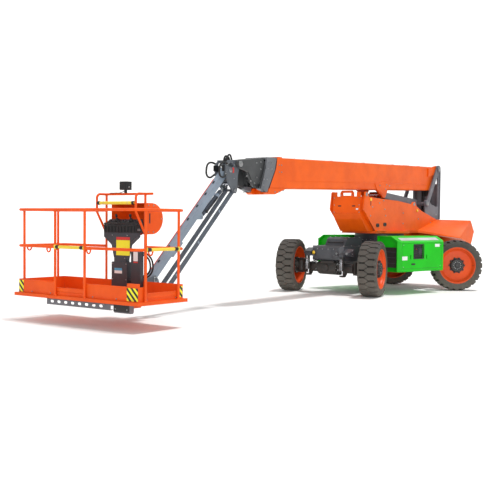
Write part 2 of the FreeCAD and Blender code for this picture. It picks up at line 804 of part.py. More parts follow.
def build_mid_boom():
    body = new_body("mid_boom")
    top = d.base_top - d.section_drop
    low = top - d.mid_height
    start = d.base_front + d.collar_gap
    length = d.collar_length
    block(body, "YZ", box_section(d.mid_half, low, top), start - 420, at=520)
    base_low = d.base_top - d.base_height
    ring = [(start, d.base_top), (start + d.boom_kink_x, -d.boom_kink_z), (start + d.boom_slant, base_low),
            (start + d.boom_slant + 26, base_low - 56), (start + d.boom_slant + 206, base_low - 6),
            (start + d.boom_slant + length - 60, base_low),
             (start + d.boom_kink_x + length, -d.boom_kink_z),
            (start + length, d.base_top)]
    block(body, "XZ", ring, 2 * (d.base_half - 6), symmetric=True)
    wall = d.mid_wall
    hollow = box_section(d.mid_half - wall, low + wall, top - wall)
    block(body, "YZ", hollow, start + 2 * d.boom_slant, at=400, cut=True)
    slot = rectangle(start + d.boom_slant - 10, start + 700, base_low - 200, low + 2 * wall)
    block(body, "XZ", slot, 2 * d.nest_half, symmetric=True, cut=True)
    put_on_boom(body)


def build_fly_boom():
    body = new_body("fly_boom")
    top = d.base_top - 2 * d.section_drop
    low = top - d.fly_height
    start = d.base_front + 2 * d.collar_gap + d.collar_length
    base_low = d.base_top - d.base_height
    tip_x, tip_z = d.tip_x, d.tip_z
    block(body, "YZ", box_section(d.fly_half, low, top), start - 610, at=700)
    head = [(start, d.base_top - 12), (start + d.boom_kink_x, -d.boom_kink_z), (start + 190, base_low + 20),
            (start + 290, base_low + 36), (start + 320, base_low + 60), (tip_x - 215, tip_z - 122),
            (tip_x, tip_z - 62), (tip_x + 62, tip_z), (tip_x, tip_z + 62)]
    block(body, "XZ", head, 2 * d.fly_half, symmetric=True)
    disc(body, "XZ", tip_x, tip_z, 62, 2 * d.fly_half, symmetric=True)
    # the knuckle and the link fold into the open underside as the boom rises
    nest = [(tip_x - 750, base_low - 50), (tip_x - 455, -215), (tip_x - 455, top + 20),
            (tip_x - 150, tip_z + 85),
            (tip_x + 90, tip_z + 85), (tip_x + 90, base_low - 50)]
    block(body, "XZ", nest, 2 * d.nest_half, symmetric=True, cut=True)
    wall = d.fly_wall
    block(body, "YZ", box_section(d.fly_half - wall, low + wall, top - wall), start - 560, at=600, cut=True)
    disc(body, "XZ", tip_x, tip_z, d.tip_pin_dia / 2 + d.run_gap, 4 * d.fly_half, symmetric=True, cut=True)
    put_on_boom(body)


def lift_line():
    rise = d.lift_eye_z - d.lift_foot_z
    run = d.lift_eye_x - d.lift_foot_x
    return heading(rise, run), span(rise, run)


def build_lift_cylinder():
    angle, length = lift_line()
    barrel = new_body("lift_cylinder_barrel")
    disc(barrel, "XZ", 0, 0, 78, 110, symmetric=True)
    disc(barrel, "YZ", 0, 0, d.lift_bore_dia / 2, length - 330, at=0)
    disc(barrel, "YZ", 0, 0, d.lift_bore_dia / 2 + 10, 90, at=length - 420)
    guard = [(190, -112), (length - 90, -46), (length - 90, 74), (210, 74), (190, 60)]
    block(barrel, "XZ", guard, 2 * d.guard_half, symmetric=True)
    disc(barrel, "XZ", 0, 0, d.lift_pin_dia / 2 + d.run_gap, 400, symmetric=True, cut=True)
    disc(barrel, "YZ", 0, 0, d.lift_rod_dia / 2 + d.run_gap / 2, length, at=140, cut=True)
    put(barrel, d.lift_foot_x, 0, d.lift_foot_z, axis=(0, 1, 0), angle=-angle)
    rod = new_body("lift_cylinder_rod")
    disc(rod, "YZ", 0, 0, d.lift_rod_dia / 2, length - 190, at=180)
    disc(rod, "XZ", length, 0, 56, 120, symmetric=True)
    disc(rod, "XZ", length, 0, 30, 370, symmetric=True)
    put(rod, d.lift_foot_x, 0, d.lift_foot_z, axis=(0, 1, 0), angle=-angle)


# ---- knuckle and jib -------------------------------------------------------------------

def tip_world():
    x = d.pivot_x + d.tip_x * cosine(d.boom_dip) + d.tip_z * sine(d.boom_dip)
    z = d.pivot_z - d.tip_x * sine(d.boom_dip) + d.tip_z * cosine(d.boom_dip)
    return x, z


def build_boom_knuckle():
    body = new_body("boom_knuckle")
    tip_x, tip_z = tip_world()
    jib_x, jib_z = d.jib_top_x, d.jib_top_z
    link_x, link_z = jib_x + d.link_dx, jib_z + d.link_dz
    eye_x, eye_z = d.jcyl_eye_x, d.jcyl_eye_z
    plate = [(tip_x - 70, tip_z), (tip_x - 20, tip_z + 70), (jib_x + 60, tip_z + 55),
             (jib_x + 130, jib_z + 60),
             (jib_x + 130, jib_z - 60), (eye_x + 60, eye_z - 10), (eye_x + 20, eye_z - 50),
             (link_x + 30, link_z - 45), (link_x - 20, link_z - 50), (link_x - 55, link_z),
             (tip_x - 20, tip_z - 190)]
    pair(body, "XZ", plate, d.lug_thick, d.lug_inner)
    opening = [(tip_x + 90, tip_z - 40), (tip_x + 140, tip_z + 12), (jib_x + 50, tip_z + 8),
               (jib_x + 70, jib_z + 62),
               (jib_x + 10, jib_z + 55), (jib_x - 40, jib_z + 40)]
    pair(body, "XZ", opening, d.lug_thick, d.lug_inner, cut=True)
    between = 2 * d.lug_inner
    web = rectangle(tip_x - 15, tip_x + 55, tip_z - 170, tip_z + 50)
    block(body, "XZ", web, between, symmetric=True)
    outside = 2 * (d.lug_inner + d.lug_thick) + 10
    disc(body, "XZ", tip_x, tip_z, d.tip_pin_dia / 2, 2 * d.fly_half + 30, symmetric=True)
    disc(body, "XZ", jib_x, jib_z, d.jib_pin_dia / 2, outside, symmetric=True)
    disc(body, "XZ", link_x, link_z, d.link_pin_dia / 2, outside, symmetric=True)
    put(body)


def jib_line():
    rise = d.jib_foot_z - d.jib_top_z
    run = d.jib_foot_x - d.jib_top_x
    return heading(rise, run), span(rise, run)


def bar_with_eyes(body, length, height, half, top_pin, foot_pin, eye):
    block(body, "XZ", rectangle(0, length, -height / 2, height / 2), 2 * half, symmetric=True)
    for x in (as_size(0), length):
        disc(body, "XZ", x, 0, eye, 2 * half, symmetric=True)
    disc(body, "XZ", 0, 0, top_pin / 2 + d.run_gap, 400, symmetric=True, cut=True)
    disc(body, "XZ", length, 0, foot_pin / 2 + d.run_gap, 400, symmetric=True, cut=True)


def build_jib():
    angle, length = jib_line()
    arm = new_body("jib_arm")
    bar_with_eyes(arm, length, d.jib_height, d.jib_half, d.jib_pin_dia, d.jib_pin_dia, d.jib_height / 2)
    foot_x, foot_z = d.jcyl_along, -d.jcyl_below
    bracket = [(foot_x - 50, 0), (foot_x + 170, 0), (foot_x + 36, foot_z - 18), (foot_x, foot_z - 34),
               (foot_x - 36, foot_z - 10)]
    pair(arm, "XZ", bracket, 12, d.jcyl_eye_half + 3)
    disc(arm, "XZ", foot_x, foot_z, d.jcyl_pin_dia / 2, 2 * d.jcyl_eye_half + 30, symmetric=True)
    put(arm, d.jib_top_x, 0, d.jib_top_z, axis=(0, 1, 0), angle=-angle)
    # the link is two separate bars, so that the jib and its cylinder pass between them
    link = new_body("parallel_link")
    height, inner, thick = d.link_height, d.link_inner, d.link_thick
    bar_with_eyes(link, length, height, inner + thick, d.link_pin_dia, d.link_pin_dia, height / 2)
    block(link, "XZ", rectangle(-height, length + height, -height, height), 2 * inner, symmetric=True,
          cut=True)
    put(link, d.jib_top_x + d.link_dx, 0, d.jib_top_z + d.link_dz, axis=(0, 1, 0), angle=-angle)


def jib_point(along, above):
    # a point of the jib's own frame in the side view
    angle = jib_line()[0]
    x = d.jib_top_x + along * cosine(angle) - above * sine(angle)
    z = d.jib_top_z + along * sine(angle) + above * cosine(angle)
    return x, z


def build_jib_cylinder():
    foot_x, foot_z = jib_point(d.jcyl_along, -d.jcyl_below)
    rise = d.jcyl_eye_z - foot_z
    run = d.jcyl_eye_x - foot_x
    angle, length = heading(rise, run), span(rise, run)
    barrel = new_body("jib_cylinder_barrel")
    disc(barrel, "XZ", 0, 0, 34, 2 * d.jcyl_eye_half, symmetric=True)
    disc(barrel, "YZ", 0, 0, 22, 90)
    disc(barrel, "YZ", 0, 0, d.jcyl_dia / 2, length - 260, at=70)
    disc(barrel, "XZ", 0, 0, d.jcyl_pin_dia / 2 + d.run_gap, 200, symmetric=True, cut=True)
    disc(barrel, "YZ", 0, 0, d.jcyl_rod_dia / 2 + d.run_gap / 2, length, at=85, cut=True)
    put(barrel, foot_x, 0, foot_z, axis=(0, 1, 0), angle=-angle)
    rod = new_body("jib_cylinder_rod")
    disc(rod, "YZ", 0, 0, d.jcyl_rod_dia / 2, length - 160, at=145)
    disc(rod, "XZ", length, 0, 34, 60, symmetric=True)
    disc(rod, "XZ", length, 0, 16, 2 * (d.link_inner - 7), symmetric=True)
    put(rod, foot_x, 0, foot_z, axis=(0, 1, 0), angle=-angle)


def build_platform_support():
    body = new_body("platform_support")
    jib_x, jib_z = d.jib_foot_x, d.jib_foot_z
    link_x, link_z = jib_x + d.link_dx, jib_z + d.link_dz
    x = d.swivel_x
    back = x - d.rotator_dia / 2
    plate = [(jib_x - 60, jib_z), (jib_x, jib_z + 60), (back + 10, jib_z + 20),
             (back + 10, d.rotator_bottom + 10),
             (link_x + 30, link_z - 45), (link_x - 30, link_z - 40), (link_x - 50, link_z)]
    pair(body, "XZ", plate, d.lug_thick, d.lug_inner)
    web = rectangle(back - 60, back + 10, d.rotator_bottom + 10, jib_z + 20)
    block(body, "XZ", web, 2 * d.lug_inner, symmetric=True)
    outside = 2 * (d.lug_inner + d.lug_thick) + 20
    disc(body, "XZ", jib_x, jib_z, d.jib_pin_dia / 2, outside, symmetric=True)
    disc(body, "XZ", link_x, link_z, d.link_pin_dia / 2, outside, symmetric=True)
    disc(body, "XY", x, 0, d.rotator_dia / 2, d.rotator_top - d.rotator_bottom, at=d.rotator_bottom)
    put(body)


# ---- platform --------------------------------------------------------------------------

def build_platform_floor():
    body = new_body("platform_floor")
    rear, front, half = d.deck_rear, d.deck_front, d.deck_half
    top = d.rim_bottom + d.rim_height
    block(body, "XY", rectangle(rear, front, -half, half), d.rim_height, at=d.rim_bottom)
    block(body, "XY", rectangle(rear + 60, front - 60, 60 - half, half - 60), 20, at=d.rim_bottom, cut=True)
    x = d.swivel_x
    for low in (d.rotator_bottom - 35, d.rotator_top + 5):
        disc(body, "XY", x, 0, d.rotator_dia / 2, 30, at=low)
        block(body, "XY", rectangle(x, rear, -100, 100), 30, at=low)
    post = rectangle(rear - 50, rear - 4, d.rotator_bottom - 35, d.rotator_top + 35)
    block(body, "XZ", post, 300, symmetric=True)
    beam = rectangle(rear - 50, rear + 500, 255, d.rim_bottom + 21)
    pair(body, "XZ", beam, 30, 120)
    put(body)


def build_under_beam():
    # a channel below the front edge, with long holes and a closed box at one end
    body = new_body("under_beam")
    front, top = d.deck_front - 70, d.rim_bottom
    channel = [(front - 50, top), (front, top), (front, top - 92), (front - 50, top - 92),
               (front - 50, top - 84),
               (front - 8, top - 84), (front - 8, top - 8), (front - 50, top - 8)]
    block(body, "XZ", channel, d.beam_right - d.beam_left, at=d.beam_left)
    for hole in range(sizes["beam_holes"]):
        y = d.beam_left + 110 + 140 * hole
        half = 18
        slot = rectangle(y - half, y + half, top - 46 - half, top - 46 + half)
        block(body, "YZ", slot, 30, at=front - 20, cut=True)
        for side in (-half, half):
            disc(body, "YZ", y + side, top - 46, half, 30, at=front - 20, cut=True)
    box = [(front - 90, top), (front - 10, top), (front - 10, top - 95), (front - 25, top - 118),
           (front - 75, top - 118), (front - 90, top - 95)]
    block(body, "XZ", box, 292, at=d.beam_right + 50)
    strap = rectangle(front - 50, front - 8, top - 30, top)
    block(body, "XZ", strap, 60, at=d.beam_right - 5)
    put(body)


def build_toe_boards():
    body = new_body("toe_boards")
    rear, front = d.deck_rear + d.toe_inset, d.deck_front - d.toe_inset
    half = d.deck_half - d.toe_inset
    wall = d.toe_thick
    base = d.rim_bottom + d.rim_height
    block(body, "XY", rectangle(rear, front, -half, half), d.toe_height, at=base)
    block(body, "XY", rectangle(rear + wall, front - wall, wall - half, half - wall), d.toe_height,
          at=base, cut=True)
    low = base + d.toe_height - d.gate_step
    block(body, "XY", rectangle(front - 40, front, d.gate_left, d.gate_right), d.gate_step, at=low,
          cut=True)
    inset = d.post_inset - d.rail_inset
    side = rectangle(rear + inset, front - inset, half - 40, half)
    block(body, "XY", side, d.gate_step, at=low, cut=True)
    put(body)


def rail_frame():
    inset = sizes["rail_inset"]
    rear, front = sizes["deck_rear"] + inset, sizes["deck_front"] - inset
    half = sizes["deck_half"] - inset
    return rear, front, half


def build_rails():
    rear, front, half = rail_frame()
    diameter, bend = sizes["rail_dia"], sizes["rail_bend"]
    top, mid = sizes["top_rail"], sizes["mid_rail"]
    base = sizes["rim_bottom"] + sizes["rim_height"]
    inset = sizes["post_inset"]
    left, right = sizes["gate_left"], sizes["gate_right"]
    reach = sizes["hoop_half"] + sizes["hoop_dia"] / 2
    stops = (sizes["console_y"] - reach, sizes["console_y"] + reach)
    loop = [(rear, stops[1]), (rear, half), (front, half), (front, -half), (rear, -half), (rear, stops[0])]
    pieces = [bent_tube([(x, y, top) for x, y in loop], bend, diameter)]
    near = [(front, right), (front, half), (front - inset, half)]
    corner = [(rear + inset, half), (rear, half), (rear, stops[1])]
    far = [(rear, stops[0]), (rear, -half), (front, -half), (front, left)]
    for run in (near, corner, far):
        pieces.append(bent_tube([(x, y, mid) for x, y in run], min(bend, inset - 5), diameter))
    posts = [(front - inset, half), (rear + inset, half), (front - inset, -half), (rear + inset, -half),
             (front, left), (front, right)]
    for x, y in posts:
        pieces.append(straight_tube((x, y, base), (x, y, top), sizes["post_dia"]))
    rails = pieces[0].multiFuse(pieces[1:])
    add_shape("platform_rails", rails)


def build_gate_bar(label, gap, x, y, angle):
    # a bar whose half-round ends slide on two posts
    body = new_body(label)
    saddle = d.post_dia / 2 + d.saddle_gap
    disc(body, "YZ", 0, 0, d.gate_bar_dia / 2, as_size(gap) - 2 * saddle - 4, at=saddle + 2)
    for post, outward in ((0, -1), (gap, 1)):
        disc(body, "XY", post, 0, saddle + d.saddle_wall, d.saddle_height, symmetric=True)
        far = as_size(post) + outward * 2 * saddle
        rest = rectangle(post, far, -2 * saddle, 2 * saddle)
        block(body, "XY", rest, d.saddle_height + 2, symmetric=True, cut=True)
        disc(body, "XY", post, 0, saddle, d.saddle_height + 2, symmetric=True, cut=True)
    put(body, x, y, d.mid_rail, angle=angle)


def build_gate_bars():
    rear, front = d.deck_rear + d.rail_inset, d.deck_front - d.rail_inset
    build_gate_bar("front_gate_bar", d.gate_right - d.gate_left, front, d.gate_left, 90)
    gap = front - rear - 2 * d.post_inset
    build_gate_bar("side_gate_bar", gap, rear + d.post_inset, d.deck_half - d.rail_inset, 0)


def build_console():
    y = d.console_y
    rear = d.deck_rear
    floor = d.rim_bottom + d.rim_height
    pedestal = new_body("console_pedestal")
    face = rear + d.console_front
    back = rear + d.toe_inset + 10
    block(pedestal, "XY", rectangle(back, face + 10, y - 155, y + 155), 450, at=floor)
    flare = [(y - 115, floor + 450), (y + 115, floor + 450), (y + 115, floor + 490), (y + 170, floor + 690),
             (y + 325, floor + 800), (y + 325, floor + 860), (y - 325, floor + 860), (y - 325, floor + 800),
             (y - 170, floor + 690), (y - 115, floor + 490)]
    block(pedestal, "YZ", flare, face - back, at=back)
    block(pedestal, "XY", rectangle(back, face - 20, y + 200, y + 385), 520, at=floor + 100)
    block(pedestal, "XY", rectangle(back, face - 20, y + 150, y + 205), 40, at=floor + 200)
    x, z = d.hood_pin_x, d.hood_pin_z
    strap = rectangle(x - 4, back + 20, z - 14, z - 4)
    for low in (y - 200, y + 150):
        block(pedestal, "XZ", strap, 50, at=low)
        disc(pedestal, "XZ", x, z, d.hinge_dia / 2, 50, at=low)
    for low in (y - 254, y + 190):
        disc(pedestal, "XZ", x, z, d.hinge_pin_dia / 2, 64, at=low)
    put(pedestal)
    box = new_body("control_box")
    side = [(rear - 12, floor + 860), (face + 5, floor + 860), (face + 5, floor + 960),
            (rear + 25, floor + 1050), (rear + 10, floor + 1050), (rear - 12, floor + 1000)]
    block(box, "XZ", side, 640, at=y - 320)
    put(box)


def build_guard():
    rear = rail_frame()[0]
    y = sizes["console_y"]
    hoop = sizes["hoop_half"]
    diameter = sizes["hoop_dia"]
    base = sizes["rim_bottom"] + sizes["rim_height"]
    rail = sizes["top_rail"]
    crown = rail + sizes["crown_rise"]
    reach = rear + sizes["hoop_reach"]
    pieces = []
    for side in (-1, 1):
        across = y + side * hoop
        pieces.append(straight_tube((rear, across, base), (rear, across, crown), diameter))
        run = [(rear, across, rail - 330), (reach, across, rail - 20), (reach, across, crown),
               (rear, across, crown)]
        pieces.append(bent_tube(run, 60, diameter))
    pieces.append(straight_tube((rear, y - hoop, crown), (rear, y + hoop + sizes["crown_end"], crown),
                                diameter))
    guard = pieces[0].multiFuse(pieces[1:])
    add_shape("console_guard", guard)
    end = hoop - diameter / 2
    bar_height = rail + sizes["bar_rise"]
    bar = straight_tube((reach, y - end, bar_height), (reach, y + end, bar_height), 46)
    add_shape("pressure_bar", bar)


def hood_outline(wall):
    # a D: two straight sides from the hinge edge and a half circle behind
    radius = d.hood_height / 2
    middle = d.hood_straight
    steps = sizes["hood_steps"]
    turns = [90 + 180 * step / steps for step in range(steps + 1)]
    arc = [((radius - wall) * cosine(turn) - middle, (radius - wall) * sine(turn) + radius)
           for turn in turns]
    edge = 0 if wall == 0 else 1
    return [(edge, wall)] + [(edge, d.hood_height - wall)] + arc


def build_console_hood():
    body = new_body("console_hood")
    y = d.console_y
    x, z = d.hood_pin_x, d.hood_pin_z
    half, wall = d.hood_wide / 2, d.hood_wall
    block(body, "XZ", [(x + run, z + rise) for run, rise in hood_outline(0)], 2 * half, at=y - half)
    inner = [(x + run, z + rise) for run, rise in hood_outline(wall)]
    block(body, "XZ", inner, 2 * (half - wall), at=y - half + wall, cut=True)
    room = d.hinge_dia / 2 + d.side_gap
    for low in (y - 205, y + 145):
        block(body, "XZ", rectangle(x - room, x + room, z - room, z + room), 60, at=low, cut=True)
    for low in (y - 255, y + 205):
        disc(body, "XZ", x, z, d.hinge_dia / 2, 50, at=low)
        disc(body, "XZ", x, z, d.hinge_pin_dia / 2 + d.run_gap, 50, at=low, cut=True)
    put(body)


def build_work_lamp():
    body = new_body("work_lamp")
    y = d.console_y
    z = d.top_rail + d.crown_rise + d.hoop_dia / 2
    x = d.deck_rear + d.rail_inset
    block(body, "XY", rectangle(x - 15, x + 15, y - 15, y + 15), 40, at=z)
    block(body, "XY", rectangle(x - 55, x + 55, y - 65, y + 65), 120, at=z + 40)
    put(body)


# ---- assembly --------------------------------------------------------------------------

corners = {"front_left": (1, 1), "front_right": (1, -1), "rear_left": (-1, 1), "rear_right": (-1, -1)}

build_chassis_frame()
build_axle("front_axle", 1)
build_axle("rear_axle", -1)
build_slew_ring()
build_side_box("side_box_left", 1)
build_side_box("side_box_right", -1)
build_axle_cylinders()
for place, (end, side) in corners.items():
    steer = d.front_steer if end > 0 else d.rear_steer
    build_knuckle(f"knuckle_{place}", end, side, steer)
    build_wheel(place, end, side, steer)
build_tie_rod("front_tie_rod", 1, "front_steer")
build_tie_rod("rear_tie_rod", -1, "rear_steer")
build_turntable()
build_upright()
build_hood()
build_counterweight()
build_boom_rest()
build_base_boom()
build_mid_boom()
build_fly_boom()
build_lift_cylinder()
build_boom_knuckle()
build_jib()
build_jib_cylinder()
build_platform_support()
build_platform_floor()
build_under_beam()
build_toe_boards()
build_rails()
build_gate_bars()
build_console()
build_guard()
build_console_hood()
build_work_lamp()

doc.recompute()

failed = [item.Label for item in doc.Objects if "Invalid" in item.State or "Error" in item.State]
for body in nodes:
    if body.Shape.isNull() or not body.Shape.isValid():
        failed.append(body.Label)
    volume = 0
    for feature in getattr(body, "Group", []):
        if feature.isDerivedFrom("PartDesign::Feature"):
            if abs(feature.Shape.Volume - volume) < 1:
                failed.append(f"{feature.Label} changes nothing")
            volume = feature.Shape.Volume
if failed:
    raise RuntimeError("failed: " + ", ".join(failed))

os.makedirs("parts", exist_ok=True)
for body in nodes:
    body.Shape.exportStep(f"parts/{body.Label}.step")
print(len(nodes), "nodes")
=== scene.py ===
# Telescopic boom lift: finishes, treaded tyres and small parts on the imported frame. Metres and degrees.
import json
import bpy
import bmesh
from math import atan2, copysign, cos, degrees, hypot, radians, sin
from mathutils import Matrix, Vector


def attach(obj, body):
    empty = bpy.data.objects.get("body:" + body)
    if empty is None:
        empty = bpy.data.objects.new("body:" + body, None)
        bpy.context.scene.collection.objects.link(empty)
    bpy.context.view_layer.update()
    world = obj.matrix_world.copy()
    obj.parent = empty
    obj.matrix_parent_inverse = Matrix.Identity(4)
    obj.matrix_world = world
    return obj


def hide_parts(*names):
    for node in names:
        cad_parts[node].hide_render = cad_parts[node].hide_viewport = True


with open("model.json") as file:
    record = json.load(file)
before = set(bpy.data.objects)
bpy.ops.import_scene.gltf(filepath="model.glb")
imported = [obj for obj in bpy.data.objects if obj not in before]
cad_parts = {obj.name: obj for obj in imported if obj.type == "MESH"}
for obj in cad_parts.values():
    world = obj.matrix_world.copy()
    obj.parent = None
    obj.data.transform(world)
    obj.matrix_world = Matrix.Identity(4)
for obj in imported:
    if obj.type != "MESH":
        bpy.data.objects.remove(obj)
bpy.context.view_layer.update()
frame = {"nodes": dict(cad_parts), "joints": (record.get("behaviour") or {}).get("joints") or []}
nodes = frame["nodes"]
joints = {joint["name"]: joint for joint in frame["joints"]}
print("frame loaded")

camera = {"at": (16.097, 8.962, 1.461), "yaw": -142.43, "pitch": -2.03, "roll": 0.51, "lens": 62.5}
# how the machine stands: the chassis is turned under the boom, the wheels are steered, the boom dips
parked = {"chassisTurn": -11.9, "frontSteer": 27.8, "rearSteer": -41.5, "boomDip": 1.5,
          "jibRun": 1.73, "jibFall": 1.687}

# each finish has its sRGB colour, a deeper shade for patches, the tone that its edges rub to and its
# roughness, and where it needs them gloss (specular level), a clear coat, ground dust and metal
finishes = {
    # two-pack enamel sprayed on welded steel plate: strong even colour, low sheen, faint orange peel
    "orangePaint": dict(colour="#ea5f07", deep="#dc5506", wear="#b9481e", rough=0.4, gloss=0.22, dust=0.06),
    # powder coat baked on tube and folded sheet: thicker and duller, so it hides the welds
    "basketPaint": dict(colour="#ec5a10", deep="#de500e", wear="#b04524", rough=0.42, gloss=0.22, dust=0.03),
    # enamel on folded sheet doors: clean saturated green with dust along the foot
    "greenPaint": dict(colour="#0ac40f", deep="#08b50d", wear="#1d8f26", rough=0.42, gloss=0.22, dust=0.08),
    # enamel brushed on bars that hands and backs rub: slightly glossier, worn pale
    "yellowPaint": dict(colour="#ecd23e", deep="#dfc433", wear="#b09a44", rough=0.42, coat=0.05, dust=0.05),
    # chassis enamel, sprayed: blue-grey with a soft highlight and road dust low down
    "chassisPaint": dict(colour="#40454d", deep="#373b42", wear="#5c5f64", rough=0.44, coat=0.05, dust=0.25),
    # primer-like black on axle castings: matt, dusty, edges rubbed brown-grey
    "axlePaint": dict(colour="#17181b", deep="#101113", wear="#3c3b3a", rough=0.56, dust=0.35),
    # mid-grey enamel on the upright's thick plates: even, with a broad sheen
    "uprightPaint": dict(colour="#686970", deep="#5c5d64", wear="#7a7b80", rough=0.44, coat=0.05, dust=0.1),
    # enamel on the sliding boom section: rubbed smooth by its wear pads
    "boomEndPaint": dict(colour="#686b70", deep="#5c5f64", wear="#7a7c80", rough=0.44, coat=0.05, dust=0.05),
    # painted shade: the boom head's plates are drawn in a darker grey than the sliding section, flat, so the
    # head reads as a deep, shaded shape
    "headShadedPaint": dict(colour="#454748", deep="#3b3d3e", wear="#66696a", rough=0.46, dust=0.05),
    # painted shade: rim enamel over pressed steel, the same orange drawn darker and redder for the shade the
    # rims sit in; it also takes more dust and scuffs
    "rimShadedPaint": dict(colour="#e2500f", deep="#d2460c", wear="#b04a24", rough=0.42, gloss=0.25, dust=0.1),
    # enamel on flame-cut knuckle plates: cool grey, edges rubbed bright at the pins
    "knucklePaint": dict(colour="#5b6067", deep="#50555b", wear="#7d8187", rough=0.42, coat=0.05, dust=0.05),
    # enamel on drawn tube: dark slate with a long highlight down each link
    "linkPaint": dict(colour="#4b535e", deep="#424953", wear="#737a84", rough=0.42, coat=0.05, dust=0.05),
    # glossier enamel on the jib's box tube: pale blue-grey with bright upper edges
    "jibPaint": dict(colour="#8491a0", deep="#788593", wear="#98a0aa", rough=0.36, coat=0.1, dust=0.05),
    # fine-textured powder coat on the console's sheet: dark, dull blue-black
    "consolePaint": dict(colour="#363a42", deep="#2d3138", wear="#55585e", rough=0.46, coat=0.05, dust=0.08),
    # moulded ABS with a satin mould texture: black that greys where it is handled
    "blackPlastic": dict(colour="#17181a", deep="#101113", wear="#35363a", rough=0.5, dust=0.08),
    # painted cast iron: dark and slightly rough, bright only on its edges
    "hubCasting": dict(colour="#24262a", deep="#1a1b1e", wear="#55575c", rough=0.5, dust=0.2),
    # moulded tyre rubber: matt, greyed by dust, paler on the lugs' edges
    "tyreRubber": dict(colour="#43423f", deep="#363533", wear="#605d57", rough=0.82, dust=0.55),
    # painted shade: the same rubber between the lugs, drawn nearly black for the shade that lies deep between
    # them; scrubbing doesn't reach it either
    "tyreGrooveShade": dict(colour="#0c0c0b", deep="#0b0b0a", wear="#1c1b1a", rough=0.9, dust=0.15),
    # extruded hose cover: dull black with a soft highlight along it
    "hoseRubber": dict(colour="#1d1e20", deep="#151617", wear="#303236", rough=0.6, dust=0.05),
    # ground and hard-chromed steel rod: mirror-like with fine turning marks
    "polishedRod": dict(colour="#d8dade", deep="#c4c7cc", wear="#eef0f2", rough=0.16, metal=1.0),
    # zinc-plated steel fasteners: grey metal with a broken sheen
    "zincSteel": dict(colour="#a6a8a8", deep="#8c8e90", wear="#c8cacb", rough=0.34, dust=0.05, metal=1.0),
    # blank vinyl labels under clear film: flat colour with a thin gloss
    "whiteLabel": dict(colour="#e6eced", deep="#dfe1e0", wear="#cfd1d0", rough=0.45, coat=0.1, dust=0.03),
    "silverLabel": dict(colour="#c3c6c6", deep="#b2b5b6", wear="#d6d8d8", rough=0.4, coat=0.1, dust=0.05),
    "yellowLabel": dict(colour="#f0ec1c", deep="#e4df14", wear="#c8bc38", rough=0.42, coat=0.1, dust=0.02),
    "redLabel": dict(colour="#cf2b22", deep="#bb241c", wear="#a83a34", rough=0.42, coat=0.1, dust=0.02),
    "blueLabel": dict(colour="#4aa6d0", deep="#3f97c0", wear="#6fb0cc", rough=0.42, coat=0.1, dust=0.02),
    # moulded acrylic lens over an amber reflector: wet-looking, strong colour
    "amberLens": dict(colour="#f0c81e", deep="#dcae12", wear="#f4dc70", rough=0.2, coat=0.5),
    # extruded PVC cable sheath: dull orange
    "orangeCable": dict(colour="#e0482a", deep="#c63c20", wear="#b85a44", rough=0.5),
}
dustColour = "#8f8577"    # dry clay
nonMetalIor = 1.5         # enamel, rubber and moulded plastic all lie close to it

nodeFinish = {
    "chassisPaint": ["chassis_frame", "slew_ring"],
    "axlePaint": ["front_axle", "rear_axle", "front_tie_rod", "rear_tie_rod", "knuckle_", "axle_cylinders"],
    "polishedRod": ["lift_cylinder_rod", "jib_cylinder_rod"],
    "greenPaint": ["side_box_"],
    "tyreRubber": ["tyre_"],
    # painted shade: the rims take the darker copy of the orange
    "rimShadedPaint": ["rim_"],
    "orangePaint": ["turntable_frame", "front_hood", "counterweight", "base_boom", "boom_rest"],
    "hubCasting": ["hub_"],
    "uprightPaint": ["rear_upright", "lift_cylinder_barrel", "under_beam"],
    "boomEndPaint": ["mid_boom"],
    # painted shade: the head takes the darker grey
    "headShadedPaint": ["fly_boom"],
    "knucklePaint": ["boom_knuckle"],
    "jibPaint": ["jib_arm"],
    "linkPaint": ["parallel_link", "jib_cylinder_barrel", "platform_support"],
    "basketPaint": ["platform_floor", "toe_boards", "platform_rails", "console_guard", "console_hood"],
    "yellowPaint": ["front_gate_bar", "side_gate_bar", "pressure_bar"],
    "consolePaint": ["console_pedestal"],
    "blackPlastic": ["control_box", "work_lamp"],
}


def toLinear(code):
    channels = [int(code[i:i + 2], 16) / 255 for i in (1, 3, 5)]
    return tuple(c / 12.92 if c <= 0.04045 else ((c + 0.055) / 1.055) ** 2.4 for c in channels) + (1.0,)


def addNode(tree, kind, settings=None, links=None):
    node = tree.nodes.new(kind)
    for key, value in (settings or {}).items():
        if isinstance(key, str) and hasattr(node, key):
            setattr(node, key, value)
        else:
            node.inputs[key].default_value = value
    for key, source in (links or {}).items():
        tree.links.new(source, node.inputs[key])
    return node


